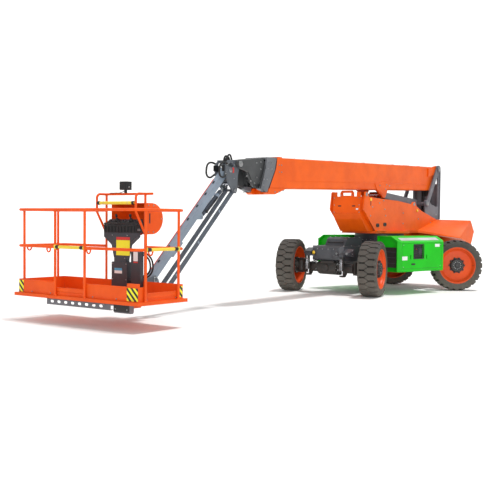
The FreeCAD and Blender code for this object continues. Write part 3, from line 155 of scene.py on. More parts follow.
def makeMaterial(name, look):
    material = bpy.data.materials.new(name)
    material.use_nodes = True
    tree = material.node_tree
    tree.nodes.clear()
    onPart = addNode(tree, "ShaderNodeTexCoord").outputs["Object"]
    # spray patches 400 mm across, so 2.5 to a metre
    patches = addNode(tree, "ShaderNodeTexNoise", {"Scale": 2.5, "Detail": 4.0, "Roughness": 0.6},
                      {"Vector": onPart})
    # orange peel, drawn 4 mm across, so 240 to a metre: the real 1 mm is too fine to show
    grain = addNode(tree, "ShaderNodeTexNoise", {"Scale": 240.0, "Detail": 2.0}, {"Vector": onPart})
    # smears a hand wide, 70 mm, so 14 to a metre
    smears = addNode(tree, "ShaderNodeTexNoise", {"Scale": 14.0, "Detail": 6.0, "Roughness": 0.65},
                     {"Vector": onPart})
    spread = addNode(tree, "ShaderNodeMapRange", {"From Min": 0.35, "From Max": 0.65},
                     {"Value": patches.outputs["Fac"]})
    paint = addNode(tree, "ShaderNodeMix",
                    {"data_type": "RGBA", 6: toLinear(look["colour"]), 7: toLinear(look["deep"])},
                    {0: spread.outputs["Result"]})
    # edges rubbed within about 4 mm of a corner, broken up by the smears
    rounded = addNode(tree, "ShaderNodeBevel", {"samples": 4, "Radius": 0.004})
    surface = addNode(tree, "ShaderNodeNewGeometry")
    angle = addNode(tree, "ShaderNodeVectorMath", {"operation": "DOT_PRODUCT"},
                    {0: rounded.outputs["Normal"], 1: surface.outputs["Normal"]})
    rubbed = addNode(tree, "ShaderNodeMapRange", {"From Min": 0.97, "From Max": 0.88, "To Max": 0.7},
                     {"Value": angle.outputs["Value"]})
    broken = addNode(tree, "ShaderNodeMath", {"operation": "MULTIPLY"},
                     {0: rubbed.outputs["Result"], 1: smears.outputs["Fac"]})
    worn = addNode(tree, "ShaderNodeMix", {"data_type": "RGBA", 7: toLinear(look["wear"])},
                   {0: broken.outputs["Value"], 6: paint.outputs[2]})
    # dust gathers below 1.3 m and in the smears
    height = addNode(tree, "ShaderNodeSeparateXYZ", None, {"Vector": surface.outputs["Position"]})
    low = addNode(tree, "ShaderNodeMapRange", {"From Min": 1.3, "From Max": 0.0,
                                               "To Max": look.get("dust", 0.0)},
                  {"Value": height.outputs["Z"]})
    dusty = addNode(tree, "ShaderNodeMath", {"operation": "MULTIPLY"},
                    {0: low.outputs["Result"], 1: smears.outputs["Fac"]})
    colour = addNode(tree, "ShaderNodeMix", {"data_type": "RGBA", 7: toLinear(dustColour)},
                     {0: dusty.outputs["Value"], 6: worn.outputs[2]})
    sheen = addNode(tree, "ShaderNodeMapRange",
                    {"From Min": 0.3, "From Max": 0.7, "To Min": look["rough"] - 0.05,
                     "To Max": look["rough"] + 0.1},
                    {"Value": smears.outputs["Fac"]})
    # the peel stands 0.2 mm
    bump = addNode(tree, "ShaderNodeBump", {"Strength": 0.35, "Distance": 0.0002},
                   {"Height": grain.outputs["Fac"], "Normal": rounded.outputs["Normal"]})
    shader = addNode(tree, "ShaderNodeBsdfPrincipled",
                     {"Metallic": look.get("metal", 0.0), "Coat Weight": look.get("coat", 0.0),
                      "Coat Roughness": 0.2, "Specular IOR Level": look.get("gloss", 0.5)},
                     {"Base Color": colour.outputs[2], "Roughness": sheen.outputs["Result"],
                      "Normal": bump.outputs["Normal"]})
    if not look.get("metal"):
        shader.inputs["IOR"].default_value = nonMetalIor
    addNode(tree, "ShaderNodeOutputMaterial", None, {"Surface": shader.outputs["BSDF"]})
    return material


def makeStripes():
    # printed vinyl: yellow and black bands 45 mm wide that lean at 45 degrees, so a pair takes 0.09 m of the
    # panel's own uv, which is in metres
    material = made["yellowLabel"].copy()
    material.name = "hazardStripes"
    tree = material.node_tree
    mix = [node for node in tree.nodes if node.type == "MIX"][0]
    place = addNode(tree, "ShaderNodeUVMap")
    split = addNode(tree, "ShaderNodeSeparateXYZ", None, {"Vector": place.outputs["UV"]})
    lean = addNode(tree, "ShaderNodeMath", {"operation": "ADD"},
                   {0: split.outputs["X"], 1: split.outputs["Y"]})
    count = addNode(tree, "ShaderNodeMath", {"operation": "DIVIDE", 1: 0.09}, {0: lean.outputs["Value"]})
    part = addNode(tree, "ShaderNodeMath", {"operation": "FRACT"}, {0: count.outputs["Value"]})
    black = addNode(tree, "ShaderNodeMath", {"operation": "GREATER_THAN", 1: 0.5}, {0: part.outputs["Value"]})
    mix.inputs[7].default_value = toLinear("#111111")
    tree.links.new(black.outputs["Value"], mix.inputs[0])
    return material


made = {name: makeMaterial(name, look) for name, look in finishes.items()}
made["hazardStripes"] = makeStripes()
for finish, starts in nodeFinish.items():
    for name, obj in nodes.items():
        if any(name.startswith(start) for start in starts):
            obj.data.materials.clear()
            obj.data.materials.append(made[finish])
# the lowest 89 mm of each axle cylinder is its bright rod
axleCylinders = nodes["axle_cylinders"].data
axleCylinders.materials.append(made["polishedRod"])
lowest = min(vertex.co.z for vertex in axleCylinders.vertices)
for face in axleCylinders.polygons:
    if face.center.z < lowest + 0.089:
        face.material_index = 1
print("materials made")

sides = (1, -1)    # left, right
upward, downward, forward, backward = (0, 0, 1), (0, 0, -1), (1, 0, 0), (-1, 0, 0)


def sideName(side):
    return "left" if side > 0 else "right"


def around(count, first=0.0):
    # even angles round a circle, in radians
    return [radians(first + 360 / count * step) for step in range(count)]


def ring(count, radius, first=0.0):
    return [(radius * cos(turn), radius * sin(turn)) for turn in around(count, first)]


def placeAt(x, y, z, outward=upward, up=upward):
    # a frame at a point whose z looks outward
    outAxis = Vector(outward).normalized()
    hint = Vector(up)
    if abs(outAxis.dot(hint.normalized())) > 0.99:
        hint = Vector(forward)
    sideAxis = hint.cross(outAxis).normalized()
    turn = Matrix((sideAxis, outAxis.cross(sideAxis), outAxis)).transposed().to_4x4()
    return Matrix.Translation((x, y, z)) @ turn


def moved(x, y, z):
    return Matrix.Translation((x, y, z))


def turned(angle, axis, at=(0, 0, 0)):
    return Matrix.Translation(at) @ Matrix.Rotation(radians(angle), 4, axis)


jibAngle = degrees(atan2(parked["jibFall"], parked["jibRun"]))
onChassis = turned(parked["chassisTurn"], "Z")
onBoom = turned(parked["boomDip"], "Y", (-2.13, 0, 2.634))
onJib = turned(jibAngle, "Y", (5.13, 0, 2.25))
onLink = turned(jibAngle, "Y", (5.01, 0, 1.93))


class Piece:
    # gathers solids into one mesh, then makes it an object that rides a body

    def __init__(self, name, body, finish, base=None):
        self.name = name
        self.body = body
        self.finishes = [finish]
        self.current = 0
        self.base = base or Matrix.Identity(4)    # where every solid is placed from
        self.mesh = bmesh.new()
        self.uv = self.mesh.loops.layers.uv.new("panel")

    def use(self, finish):
        if finish not in self.finishes:
            self.finishes.append(finish)
        self.current = self.finishes.index(finish)
        return self

    def add(self, points, faces, at=None, smooth=False):
        at = self.base @ at if at else self.base
        corners = [self.mesh.verts.new(at @ Vector(point)) for point in points]
        for face in faces:
            newFace = self.mesh.faces.new([corners[i] for i in face])
            newFace.material_index = self.current
            newFace.smooth = smooth
            for loop, i in zip(newFace.loops, face):
                loop[self.uv].uv = (points[i][0], points[i][1])
        return self

    def prism(self, outline, depth, at=None, edge=0.0):
        # an outline raised along z, with a chamfer round the top
        count = len(outline)
        middle = [sum(p[k] for p in outline) / count for k in (0, 1)]
        radius = max(hypot(p[0] - middle[0], p[1] - middle[1]) for p in outline) or 1
        shrink = 1 - edge / radius
        top = [tuple(middle[k] + (p[k] - middle[k]) * shrink for k in (0, 1)) for p in outline]
        rings = [(outline, 0.0), (outline, depth - edge), (top, depth)]
        if not edge:
            rings = [(outline, 0.0), (outline, depth)]
        points = [(p[0], p[1], z) for ring, z in rings for p in ring]
        faces = [tuple(reversed(range(count))), tuple(range(len(points) - count, len(points)))]
        for level in range(len(rings) - 1):
            a = level * count
            for i in range(count):
                j = (i + 1) % count
                faces.append((a + i, a + j, a + count + j, a + count + i))
        return self.add(points, faces, at)

    def plate(self, width, height, depth, at=None, edge=0.0015, corner=0.0):
        w, h = width / 2, height / 2
        outline = [(w, h), (-w, h), (-w, -h), (w, -h)]
        if corner:
            outline = []
            for cx, cy, start in ((w, h, 0), (-w, h, 90), (-w, -h, 180), (w, -h, 270)):
                sx, sy = copysign(w - corner, cx), copysign(h - corner, cy)
                for step in range(5):
                    turn = radians(start + 22.5 * step)
                    outline.append((sx + corner * cos(turn), sy + corner * sin(turn)))
        return self.prism(outline, depth, at, edge)

    def drum(self, profile, at=None, steps=24, smooth=True):
        # a profile of (radius, height) turned about z and closed at both ends
        count = len(profile)
        points = [(r * cos(turn), r * sin(turn), z) for turn in around(steps) for r, z in profile]
        faces = []
        for step in range(steps):
            a, b = step * count, (step + 1) % steps * count
            faces += [(a + i, b + i, b + i + 1, a + i + 1) for i in range(count - 1)]
        faces.append(tuple(step * count for step in reversed(range(steps))))
        faces.append(tuple(step * count + count - 1 for step in range(steps)))
        return self.add(points, faces, at, smooth)

    def hoop(self, section, steps):
        # a closed section of (radius, height) turned about z
        count = len(section)
        points = [(r * cos(turn), r * sin(turn), z) for turn in around(steps) for r, z in section]
        faces = []
        for step in range(steps):
            a, b = step * count, (step + 1) % steps * count
            faces += [(a + i, a + (i + 1) % count, b + (i + 1) % count, b + i) for i in range(count)]
        return self.add(points, faces, None, True)

    def bolt(self, at, size=0.012, height=0.009):
        # a washer, then a six-sided head with a chamfered top
        self.drum([(size * 1.25, 0), (size * 1.25, 0.002), (size * 1.1, 0.003)], at, 14, False)
        return self.prism(ring(6, size), height, at @ moved(0, 0, 0.003), size * 0.16)

    def bar(self, start, end, radius, steps=12):
        start, end = Vector(start), Vector(end)
        run = end - start
        edge = min(radius * 0.2, 0.002)
        profile = [(radius - edge, 0), (radius, edge), (radius, run.length - edge),
                   (radius - edge, run.length)]
        return self.drum(profile, placeAt(*start, run), steps)

    def sideBolts(self, spots, side, reach, size, height=0.009):
        # bolts at x and z on a face that looks sideways
        for x, z in spots:
            self.bolt(placeAt(x, side * reach, z, (0, side, 0)), size, height)
        return self

    def sideLine(self, spots, side, reach, radius):
        # a thin round bar through points at x and z on a face that looks sideways
        for (x0, z0), (x1, z1) in zip(spots, spots[1:]):
            self.bar((x0, side * reach, z0), (x1, side * reach, z1), radius, 8)

    def make(self, bevel=0.0, segments=2):
        bmesh.ops.remove_doubles(self.mesh, verts=self.mesh.verts, dist=1e-6)
        data = bpy.data.meshes.new(self.name)
        self.mesh.normal_update()
        self.mesh.to_mesh(data)
        self.mesh.free()
        for finish in self.finishes:
            data.materials.append(made[finish])
        obj = bpy.data.objects.new(self.name, data)
        bpy.context.scene.collection.objects.link(obj)
        if bevel:
            soft = obj.modifiers.new("edges", "BEVEL")
            soft.width = bevel
            soft.segments = segments
            soft.limit_method = "ANGLE"
            soft.angle_limit = radians(40)
        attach(obj, self.body)
        return obj


def makeHose(name, body, points, radius, finish="hoseRubber", at=None):
    # a hose or cable clipped at both ends, as a curve through its points
    curve = bpy.data.curves.new(name, "CURVE")
    curve.dimensions = "3D"
    curve.bevel_depth = radius
    curve.bevel_resolution = 3
    curve.resolution_u = 8
    curve.use_fill_caps = True
    line = curve.splines.new("BEZIER")
    line.bezier_points.add(len(points) - 1)
    for spot, point in zip(line.bezier_points, points):
        spot.co = at @ Vector(point) if at else point
        spot.handle_left_type = spot.handle_right_type = "AUTO"
    obj = bpy.data.objects.new(name, curve)
    bpy.context.scene.collection.objects.link(obj)
    curve.materials.append(made[finish])
    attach(obj, body)


tyre = {"seat": 0.382, "outer": 0.5315, "half": 0.189, "steps": 80, "ribs": (0.04, 0.062)}
tread = {"lugs": 24, "depth": 0.03, "width": 0.107, "taper": 0.012, "edge": 0.004}
hub = {"bosses": 10, "bossRing": 0.154, "nuts": 12, "nutRing": 0.075, "face": 0.083, "valveRing": 0.338}


def addCarcass(piece):
    seat, outer, half, depth = tyre["seat"], tyre["outer"], tyre["half"], tread["depth"]
    side = [(seat, half - 0.018), (seat + 0.01, half - 0.01), (seat + 0.026, half - 0.007),
            (seat + 0.032, half - 0.01), (seat + 0.05, half - 0.006), (outer - 0.066, half - 0.004),
            (outer - 0.044, half - 0.01), (outer - 0.04, half - 0.026), (outer - depth - 0.004, half - 0.05),
            (outer - depth, 0.0)]
    # painted shade: the tread floor between the lugs takes the nearly black groove rubber
    piece.use("tyreGrooveShade").hoop(side + [(r, -y) for r, y in reversed(side[:-1])], tyre["steps"])
    for face in piece.mesh.faces:
        middle = piece.base.inverted() @ face.calc_center_median()
        if hypot(middle.x, middle.y) < outer - 0.036:
            face.material_index = 0    # the sidewalls


def addLugs(piece):
    # a lug runs from the sidewall over the shoulder and ends in a point between its neighbours;
    # each stage has its top's radius and y, its foot's y and radius, and its share of the width
    outer, half, foot = tyre["outer"], tyre["half"], tyre["outer"] - tread["depth"] - 0.003
    stages = [(outer - 0.08, half - 0.001, half - 0.008, outer - 0.076, 0.5),
              (outer - 0.023, half - 0.014, half - 0.032, outer - 0.046, 0.66),
              (outer - 0.0015, half - 0.042, half - 0.056, foot - 0.003, 0.86),
              (outer, 0.098, 0.098, foot, 1.0), (outer, 0.04, 0.04, foot, 1.0),
              (outer, -0.018, -0.018, foot, 0.3), (outer, -0.026, -0.02, foot, 0.24)]
    flare = degrees(tread["taper"] / 2 / outer)
    last = (len(stages) - 1) * 4
    for index in range(tread["lugs"]):
        for way in sides:
            base = 360 / tread["lugs"] * (index + (0.5 if way < 0 else 0))
            points, faces = [], []
            for topR, topY, lowY, lowR, share in stages:
                wide = degrees(tread["width"] / 2 / outer) * share
                for angle, r, y in ((base - wide - flare, lowR, lowY), (base - wide, topR, topY),
                                    (base + wide, topR, topY), (base + wide + flare, lowR, lowY)):
                    turn = radians(angle * way)
                    points.append((r * cos(turn), r * sin(turn), y * way))
            for a in range(0, last, 4):
                faces += [(a + i, a + i + 1, a + i + 5, a + i + 4) for i in range(3)]
                faces.append((a + 3, a, a + 4, a + 7))
            faces += [(3, 2, 1, 0), (last, last + 1, last + 2, last + 3)]
            piece.add(points, faces)


def makeWheel(place):
    side = 1 if "left" in place else -1
    spin = joints["roll_" + place]
    at = placeAt(*spin["pos_m"], Vector(spin["axis"]) * side)
    piece = Piece("treaded_tyre_" + place, "wheel_" + place, "tyreRubber", at)
    addCarcass(piece)
    piece.use("tyreRubber")
    addLugs(piece)
    # moulded ribs round each sidewall
    for way in sides:
        for rise in tyre["ribs"]:
            radius = tyre["seat"] + rise
            rib = [(radius - 0.003, -0.004), (radius - 0.001, 0.0005), (radius + 0.001, 0.0005),
                   (radius + 0.003, -0.004)]
            piece.hoop([(r, way * (tyre["half"] - 0.005 + z)) for r, z in rib], tyre["steps"])
    bmesh.ops.recalc_face_normals(piece.mesh, faces=piece.mesh.faces)
    obj = piece.make(tread["edge"], 1)
    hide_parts("tyre_" + place)

    # nuts on the bosses, nuts round the flange, a cap and a valve
    trim = Piece("wheel_trim_" + place, "wheel_" + place, "zincSteel", at)
    for x, y in ring(hub["bosses"], hub["bossRing"]):
        trim.use("hubCasting").bolt(moved(x, y, hub["face"] + 0.047), 0.014, 0.016)
    for x, y in ring(hub["nuts"], hub["nutRing"]):
        trim.use("zincSteel").bolt(moved(x, y, hub["face"] + 0.0775), 0.007, 0.006)
    trim.use("hubCasting").drum([(0.048, 0), (0.048, 0.012), (0.04, 0.02), (0.016, 0.022)],
                                moved(0, 0, hub["face"] + 0.077))
    trim.use("blackPlastic").drum([(0.007, 0), (0.007, 0.03), (0.005, 0.036), (0.005, 0.05), (0.003, 0.052)],
                                  moved(hub["valveRing"], 0, hub["face"] + 0.02), 12)
    trim.make()


places = ("front_left", "front_right", "rear_left", "rear_right")
for place in places:
    makeWheel(place)
print("tyres made")

chassis = {"flangeBolts": (0.9, 1.05, 1.2), "noseBolts": (0.08, 0.22), "ledgeBolts": (1.02, 1.24, 1.46),
           "cheekBolts": (0.8, 0.87), "end": 1.6, "pipeRadius": 0.0075, "pipeY": 0.47, "slewBolts": 36,
           "slewTeeth": 60}
trim = Piece("chassis_trim", "chassis", "zincSteel", onChassis)
for end in (1, -1):
    outward = (end, 0, 0)
    for side in sides:
        for x in chassis["flangeBolts"]:
            trim.bolt(placeAt(end * x, side * 0.255, 1.11), 0.013)
        for y in chassis["noseBolts"]:
            trim.bolt(placeAt(end * chassis["end"], side * y, 0.885, outward), 0.011)
        for x in chassis["ledgeBolts"]:
            trim.bolt(placeAt(end * x, side * 0.36, 0.945), 0.011)
        for z in chassis["cheekBolts"]:
            trim.bolt(placeAt(end * 1.5, side * 0.63, z, (0, side, 0)), 0.01)
    # a cover on top, a plate on the end face and a grab bar
    trim.use("chassisPaint").plate(0.44, 0.3, 0.006, placeAt(end * 1.035, 0, 1.109), 0.003, 0.03)
    trim.plate(0.36, 0.2, 0.008, placeAt(end * chassis["end"], 0, 0.8, outward), 0.003, 0.02)
    trim.use("axlePaint").bar((end * 1.34, -0.2, 1.015), (end * 1.34, 0.2, 1.015), 0.009, 12)
    for side in sides:
        trim.bar((end * 1.29, side * 0.2, 1.03), (end * 1.34, side * 0.2, 1.015), 0.009, 12)
    trim.use("zincSteel")
# bright pipes that run down beside each axle cylinder, in two clamps
for side in sides:
    middle = side * chassis["pipeY"]
    for shift in (-0.02, 0.02):
        trim.use("polishedRod").bar((1.648, middle + shift, 0.47), (1.648, middle + shift, 0.7),
                                    chassis["pipeRadius"], 12)
    for z in (0.5, 0.67):
        trim.use("axlePaint").plate(0.07, 0.022, 0.03, placeAt(1.62, middle, z, forward), 0.002)
# an amber lamp on one side, a bracket with a bright ring on the other
spot = placeAt(chassis["end"], -0.314, 0.807, forward)
trim.use("blackPlastic").drum([(0.046, 0), (0.046, 0.01), (0.04, 0.014)], spot, 28)
trim.use("amberLens").drum([(0.038, 0.012), (0.037, 0.022), (0.03, 0.028), (0.012, 0.031)], spot, 28)
for x, y in ((chassis["end"], 0.313), (1.58, 0.56)):
    spot = placeAt(x, y, 0.805, (1, 0, 0.1))
    trim.use("chassisPaint").drum([(0.04, 0), (0.04, 0.008), (0.034, 0.012)], spot, 24)
    trim.use("zincSteel").drum([(0.024, 0.01), (0.024, 0.018), (0.018, 0.022)], spot, 20)
trim.make()

slewing = Piece("slew_bolts", "chassis", "zincSteel")
for x, y in ring(chassis["slewBolts"], 0.535):
    slewing.bolt(placeAt(x, y, 1.06), 0.011, 0.01)
slewing.use("chassisPaint")
for x, y in ring(chassis["slewTeeth"], 0.506):
    slewing.plate(0.02, 0.062, 0.01, placeAt(x, y, 1.105, (x, y, 0)), 0.002)
slewing.make()

# from the axle's middle: the pin caps' bolts, the gearbox flange and the hoses' way outward (run, y, z)
axle = {"x": 1.4525, "z": 0.5115, "pinY": 0.823, "pinRing": 0.056, "flangeRing": 0.118, "flangeY": 0.26,
        "hoseRadius": 0.01, "hoseShifts": (0.0, 0.026),
        "hose": ((0.09, 0.24, 0.66), (0.12, 0.32, 0.62), (0.125, 0.48, 0.575), (0.118, 0.6, 0.565),
                 (0.09, 0.66, 0.56))}


def makeAxleTrim(name, end):
    piece = Piece(name + "_axle_trim", "chassis", "zincSteel", onChassis)
    x = end * axle["x"]
    for side in sides:
        for rise, outward in ((-0.14, downward), (0.14, upward)):
            for ringX, ringY in ring(4, axle["pinRing"], 45):
                piece.bolt(placeAt(x + ringX, side * axle["pinY"] + ringY, 0.5315 + rise, outward), 0.007,
                           0.006)
        for z in (0.6, 0.48):
            piece.bolt(placeAt(x + end * 0.1, side * 0.3, z, (end, 0, 0)), 0.012)
        flange = [(x + ringX, axle["z"] + ringZ) for ringX, ringZ in ring(10, axle["flangeRing"])]
        piece.sideBolts(flange, side, axle["flangeY"], 0.008)
    piece.use("axlePaint").drum([(0.07, 0), (0.07, 0.016), (0.06, 0.022), (0.03, 0.024)],
                                placeAt(x + end * 0.135, 0, axle["z"], (end, 0, 0)), 32)
    piece.make()
    for side in sides:
        for shift in axle["hoseShifts"]:
            makeHose(f"{name}_axle_hose_{sideName(side)}_{int(shift * 1000)}", "chassis",
                     [(x + end * run, side * y, z + shift) for run, y, z in axle["hose"]], axle["hoseRadius"],
                     at=onChassis)


makeAxleTrim("front", 1)
makeAxleTrim("rear", -1)

motor = {"bolts": 12, "ring": 0.15, "y": 0.097, "cap": ((0.06, 0), (0.06, 0.04), (0.052, 0.048),
                                                        (0.03, 0.05))}
for place in places:
    side = 1 if "left" in place else -1
    steer = parked["frontSteer"] if "front" in place else parked["rearSteer"]
    at = turned(parked["chassisTurn"] + steer, "Z", joints["steer_" + place]["pos_m"])
    piece = Piece("knuckle_trim_" + place, "knuckle_" + place, "zincSteel", at)
    for x, z in ring(motor["bolts"], motor["ring"], 15):
        piece.bolt(placeAt(x, side * motor["y"], z, (0, -side, 0)), 0.008, 0.007)
    piece.use("hubCasting").drum(motor["cap"], placeAt(0, side * 0.02, 0.0, (0, -side, 0)))
    piece.make()
print("chassis made")

sideBox = {
    "reach": 1.15, "recess": 0.023, "strip": (1.19, 0.105), "window": (0.298, 0.263),
    "windowAt": (0.13, 0.8475),
    "slats": (0.745, 0.785, 0.825, 0.865, 0.905, 0.945),
    "seal": ((-0.028, 0.707, 0.288, 0.707), (-0.028, 0.988, 0.288, 0.988), (-0.028, 0.707, -0.028, 0.988),
             (0.288, 0.707, 0.288, 0.988)),
    "labels": ((-0.46, 0.965, 0.15, 0.06), (0.56, 0.72, 0.16, 0.075)),
    "seams": ((-0.6, 0.765, 0.004, 0.5), (0.64, 0.765, 0.004, 0.5), (0.02, 0.515, 1.244, 0.004),
              (0.02, 1.015, 1.244, 0.004)),
    "trays": (0.62, 0.73, 0.84),
}


def makeBoxTrim(side):
    piece = Piece(f"box_trim_{sideName(side)}", "chassis", "silverLabel", onChassis)
    out, y, recess = (0, side, 0), side * sideBox["reach"], side * (sideBox["reach"] - sideBox["recess"])
    slope = Vector((0, side * 0.117, 0.22))
    piece.plate(*sideBox["strip"], 0.003, placeAt(0, side * 1.04, 1.092, slope), 0.001, 0.008)
    # the dark window with its slats, a unit behind them and a rubber seal
    windowX, windowZ = sideBox["windowAt"]
    piece.use("blackPlastic").plate(*sideBox["window"], 0.004, placeAt(windowX, recess, windowZ, out), 0.001)
    slatY = recess + side * 0.01
    for z in sideBox["slats"]:
        piece.bar((0.0, slatY, z), (0.26, slatY, z), 0.006, 8)
    piece.use("consolePaint").plate(0.1, 0.12, 0.012, placeAt(0.07, recess, 0.86, out), 0.002, 0.01)
    piece.use("redLabel").drum([(0.014, 0), (0.014, 0.01), (0.01, 0.013)],
                               placeAt(0.19, recess, 0.9, out), 18)
    piece.use("blackPlastic")
    for x0, z0, x1, z1 in sideBox["seal"]:
        piece.bar((x0, y, z0), (x1, y, z1), 0.009, 10)
    for x in (0.38, -0.12):
        piece.plate(0.026, 0.078, 0.004, placeAt(x, recess, 0.74, out), 0.001)
    piece.use("whiteLabel")
    for x, z, width, height in sideBox["labels"]:
        piece.plate(width, height, 0.002, placeAt(x, y, z, out), 0.0008, 0.006)
    # the door's seams, screws and latch
    piece.use("axlePaint")
    for x, z, width, height in sideBox["seams"]:
        piece.plate(width, height, 0.001, placeAt(x, y, z, out), 0.0003)
    piece.use("zincSteel")
    for x in (-0.56, 0.6):
        for z in (0.55, 0.98):
            piece.bolt(placeAt(x, y, z, out), 0.008, 0.005)
    for x in (-0.6, -0.2, 0.2, 0.6):
        piece.bolt(placeAt(x, side * 0.72, 1.15), 0.009, 0.006)
    piece.use("blackPlastic").plate(0.11, 0.034, 0.014, placeAt(0.3, y, 0.6, out), 0.004, 0.012)
    hingeY = side * (sideBox["reach"] - 0.012)
    for x in (-0.45, 0.45):
        piece.use("greenPaint").bar((x - 0.05, hingeY, 0.468), (x + 0.05, hingeY, 0.468), 0.011, 12)
    # blocks and trays seen in the open ends
    for end in (1, -1):
        outward = (end, 0, 0)
        piece.use("axlePaint").plate(0.5, 0.4, 0.02, placeAt(end * 0.664, side * 0.78, 0.73, outward),
                                     0.004, 0.02)
        piece.use("chassisPaint")
        for z in sideBox["trays"]:
            piece.plate(0.46, 0.012, 0.006, placeAt(end * 0.684, side * 0.78, z, outward), 0.002)
    piece.make()


makeBoxTrim(1)
makeBoxTrim(-1)
print("side boxes made")

turntable = {
    "cheek": 0.39,
    "bolts": ((1.068, 1.551), (0.991, 1.725), (0.454, 1.557), (0.491, 1.685), (0.711, 1.81), (0.542, 1.861),
              (-0.3, 1.62), (-0.3, 1.4), (-1.0, 1.5), (-1.6, 1.42), (-1.8, 1.36)),
    "ports": ((0.776, 1.363), (0.482, 1.379)),
    "lamps": ((-0.942, 1.678), (1.06, 1.87)),
    "lampShape": ((0.03, 0), (0.03, 0.01), (0.024, 0.016), (0.01, 0.018)),
    "seam": ((0.868, 1.25), (1.3, 1.65), (1.292, 1.86)),
    "weld": ((-1.85, 1.243), (0.83, 1.243)), "liftingEyes": ((1.22, 1.97), (-0.805, 1.813)),
}
deck = Piece("turntable_trim", "turntable", "zincSteel")
for side in sides:
    out, y = (0, side, 0), side * turntable["cheek"]
    deck.use("zincSteel" if side > 0 else "orangePaint")    # bare on the left, painted over on the right
    deck.sideBolts(turntable["bolts"], side, turntable["cheek"], 0.013, 0.008)
    # two black service ports with their caps
    for x, z in turntable["ports"]:
        deck.use("blackPlastic").plate(0.13, 0.075, 0.006, placeAt(x, y, z, out), 0.002, 0.03)
        for shift in (-0.032, 0.032):
            deck.use("hubCasting").drum([(0.02, 0.004), (0.02, 0.014), (0.014, 0.018)],
                                        placeAt(x + shift, y, z, out), 18)
    deck.use("amberLens")
    for x, z in turntable["lamps"]:
        deck.drum(turntable["lampShape"], placeAt(x, y, z, out), 22)
    deck.use("blackPlastic").plate(0.02, 0.1, 0.004, placeAt(1.06, y, 1.8, out), 0.001, 0.008)
    # the rubber in the seam between the hood and the cheek
    deck.use("hoseRubber").sideLine(turntable["seam"], side, 0.372, 0.006)
    for x, z in turntable["liftingEyes"]:
        deck.use("zincSteel").drum([(0.04, 0), (0.04, 0.004), (0.034, 0.006), (0.027, 0.006)],
                                   placeAt(x, side * 0.388, z, out), 28)
    # the weld along the foot of the cheek
    deck.use("orangePaint").sideLine(turntable["weld"], side, 0.394, 0.006)
deck.make()

frontHood = {"face": 1.33, "screws": (1.62, 1.76, 1.9), "slots": (0.9, 1.0, 1.1, 1.2)}
hood = Piece("hood_trim", "turntable", "whiteLabel")
hood.plate(0.05, 0.03, 0.002, placeAt(1.332, 0.24, 1.68, forward), 0.0006, 0.004)
for side in sides:
    for z in frontHood["screws"]:
        hood.use("zincSteel").bolt(placeAt(frontHood["face"], side * 0.285, z, forward), 0.009, 0.006)
    hood.use("blackPlastic").plate(0.07, 0.022, 0.01, placeAt(frontHood["face"], side * 0.16, 1.74, forward),
                                   0.003, 0.009)
    hood.use("orangePaint").bar((1.333, side * 0.02, 1.6), (1.333, side * 0.29, 1.6), 0.004, 8)
    hood.use("zincSteel").bolt(placeAt(frontHood["face"], side * 0.13, 1.955, forward), 0.01, 0.007)
# painted shade: thin black strips on the hood's top stand in for the shade inside its slots
for x in frontHood["slots"]:
    hood.use("blackPlastic").plate(0.34, 0.018, 0.004, placeAt(x, 0, 1.928), 0.001)
hood.make()

# everything on the counterweight sits on the bevel above its flat rear face
weight = {"bevel": (-0.8, 0, 0.6), "middle": (-2.288, 1.426), "bolts": ((-2.308, 1.3993), (-2.268, 1.4525))}
tail = Piece("counterweight_trim", "turntable", "zincSteel")
x, z = weight["middle"]
for side in sides:
    for boltX, boltZ in weight["bolts"]:
        tail.use("zincSteel").bolt(placeAt(boltX, side * 0.25, boltZ, weight["bevel"]), 0.016, 0.008)
    tail.use("redLabel").plate(0.16, 0.035, 0.004, placeAt(x, side * 0.32, z, weight["bevel"]), 0.0015, 0.008)
tail.use("blackPlastic").plate(0.24, 0.06, 0.006, placeAt(x, 0, z, weight["bevel"]), 0.003, 0.02)
tail.make()

upright = {
    "pins": ((-2.13, 2.634, 0.052), (-1.557, 1.837, 0.048)), "pinReach": 0.335,
    "bolts": ((-2.0, 1.32), (-1.8, 1.32), (-1.6, 1.32), (-2.03, 1.6), (-1.56, 1.6)),
    "plates": (1.5, 1.8, 2.1),
    "hose": ((-2.05, 1.245), (-2.14, 1.5), (-2.163, 1.9), (-2.16, 2.24), (-2.168, 2.295)),
    "hoseRadius": 0.014,
}
post = Piece("upright_trim", "turntable", "zincSteel")
for side in sides:
    out, reach = (0, side, 0), upright["pinReach"]
    for x, z, radius in upright["pins"]:
        at = placeAt(x, side * reach, z, out)
        post.use("uprightPaint").drum([(radius + 0.026, -0.02), (radius + 0.026, -0.01),
                                       (radius + 0.021, -0.006)], at, 32)
        post.use("zincSteel").drum([(radius, -0.006), (radius, 0.004), (radius - 0.006, 0.008)], at, 32)
        post.sideBolts([(x + ringX, z + ringZ) for ringX, ringZ in ring(3, 0.03, 40)], side, reach + 0.007,
                       0.006, 0.005)
    post.sideBolts(upright["bolts"], side, 0.31, 0.014)
for z in upright["plates"]:
    post.use("blackPlastic").plate(0.2, 0.16, 0.006, placeAt(-2.185, 0, z, forward), 0.002, 0.01)
post.make()
for side in sides:
    for row in (0, 1):
        makeHose(f"upright_hose_{sideName(side)}_{row}", "turntable",
                 [(x, side * (0.06 + 0.045 * row), z) for x, z in upright["hose"]], upright["hoseRadius"])
print("turntable made")

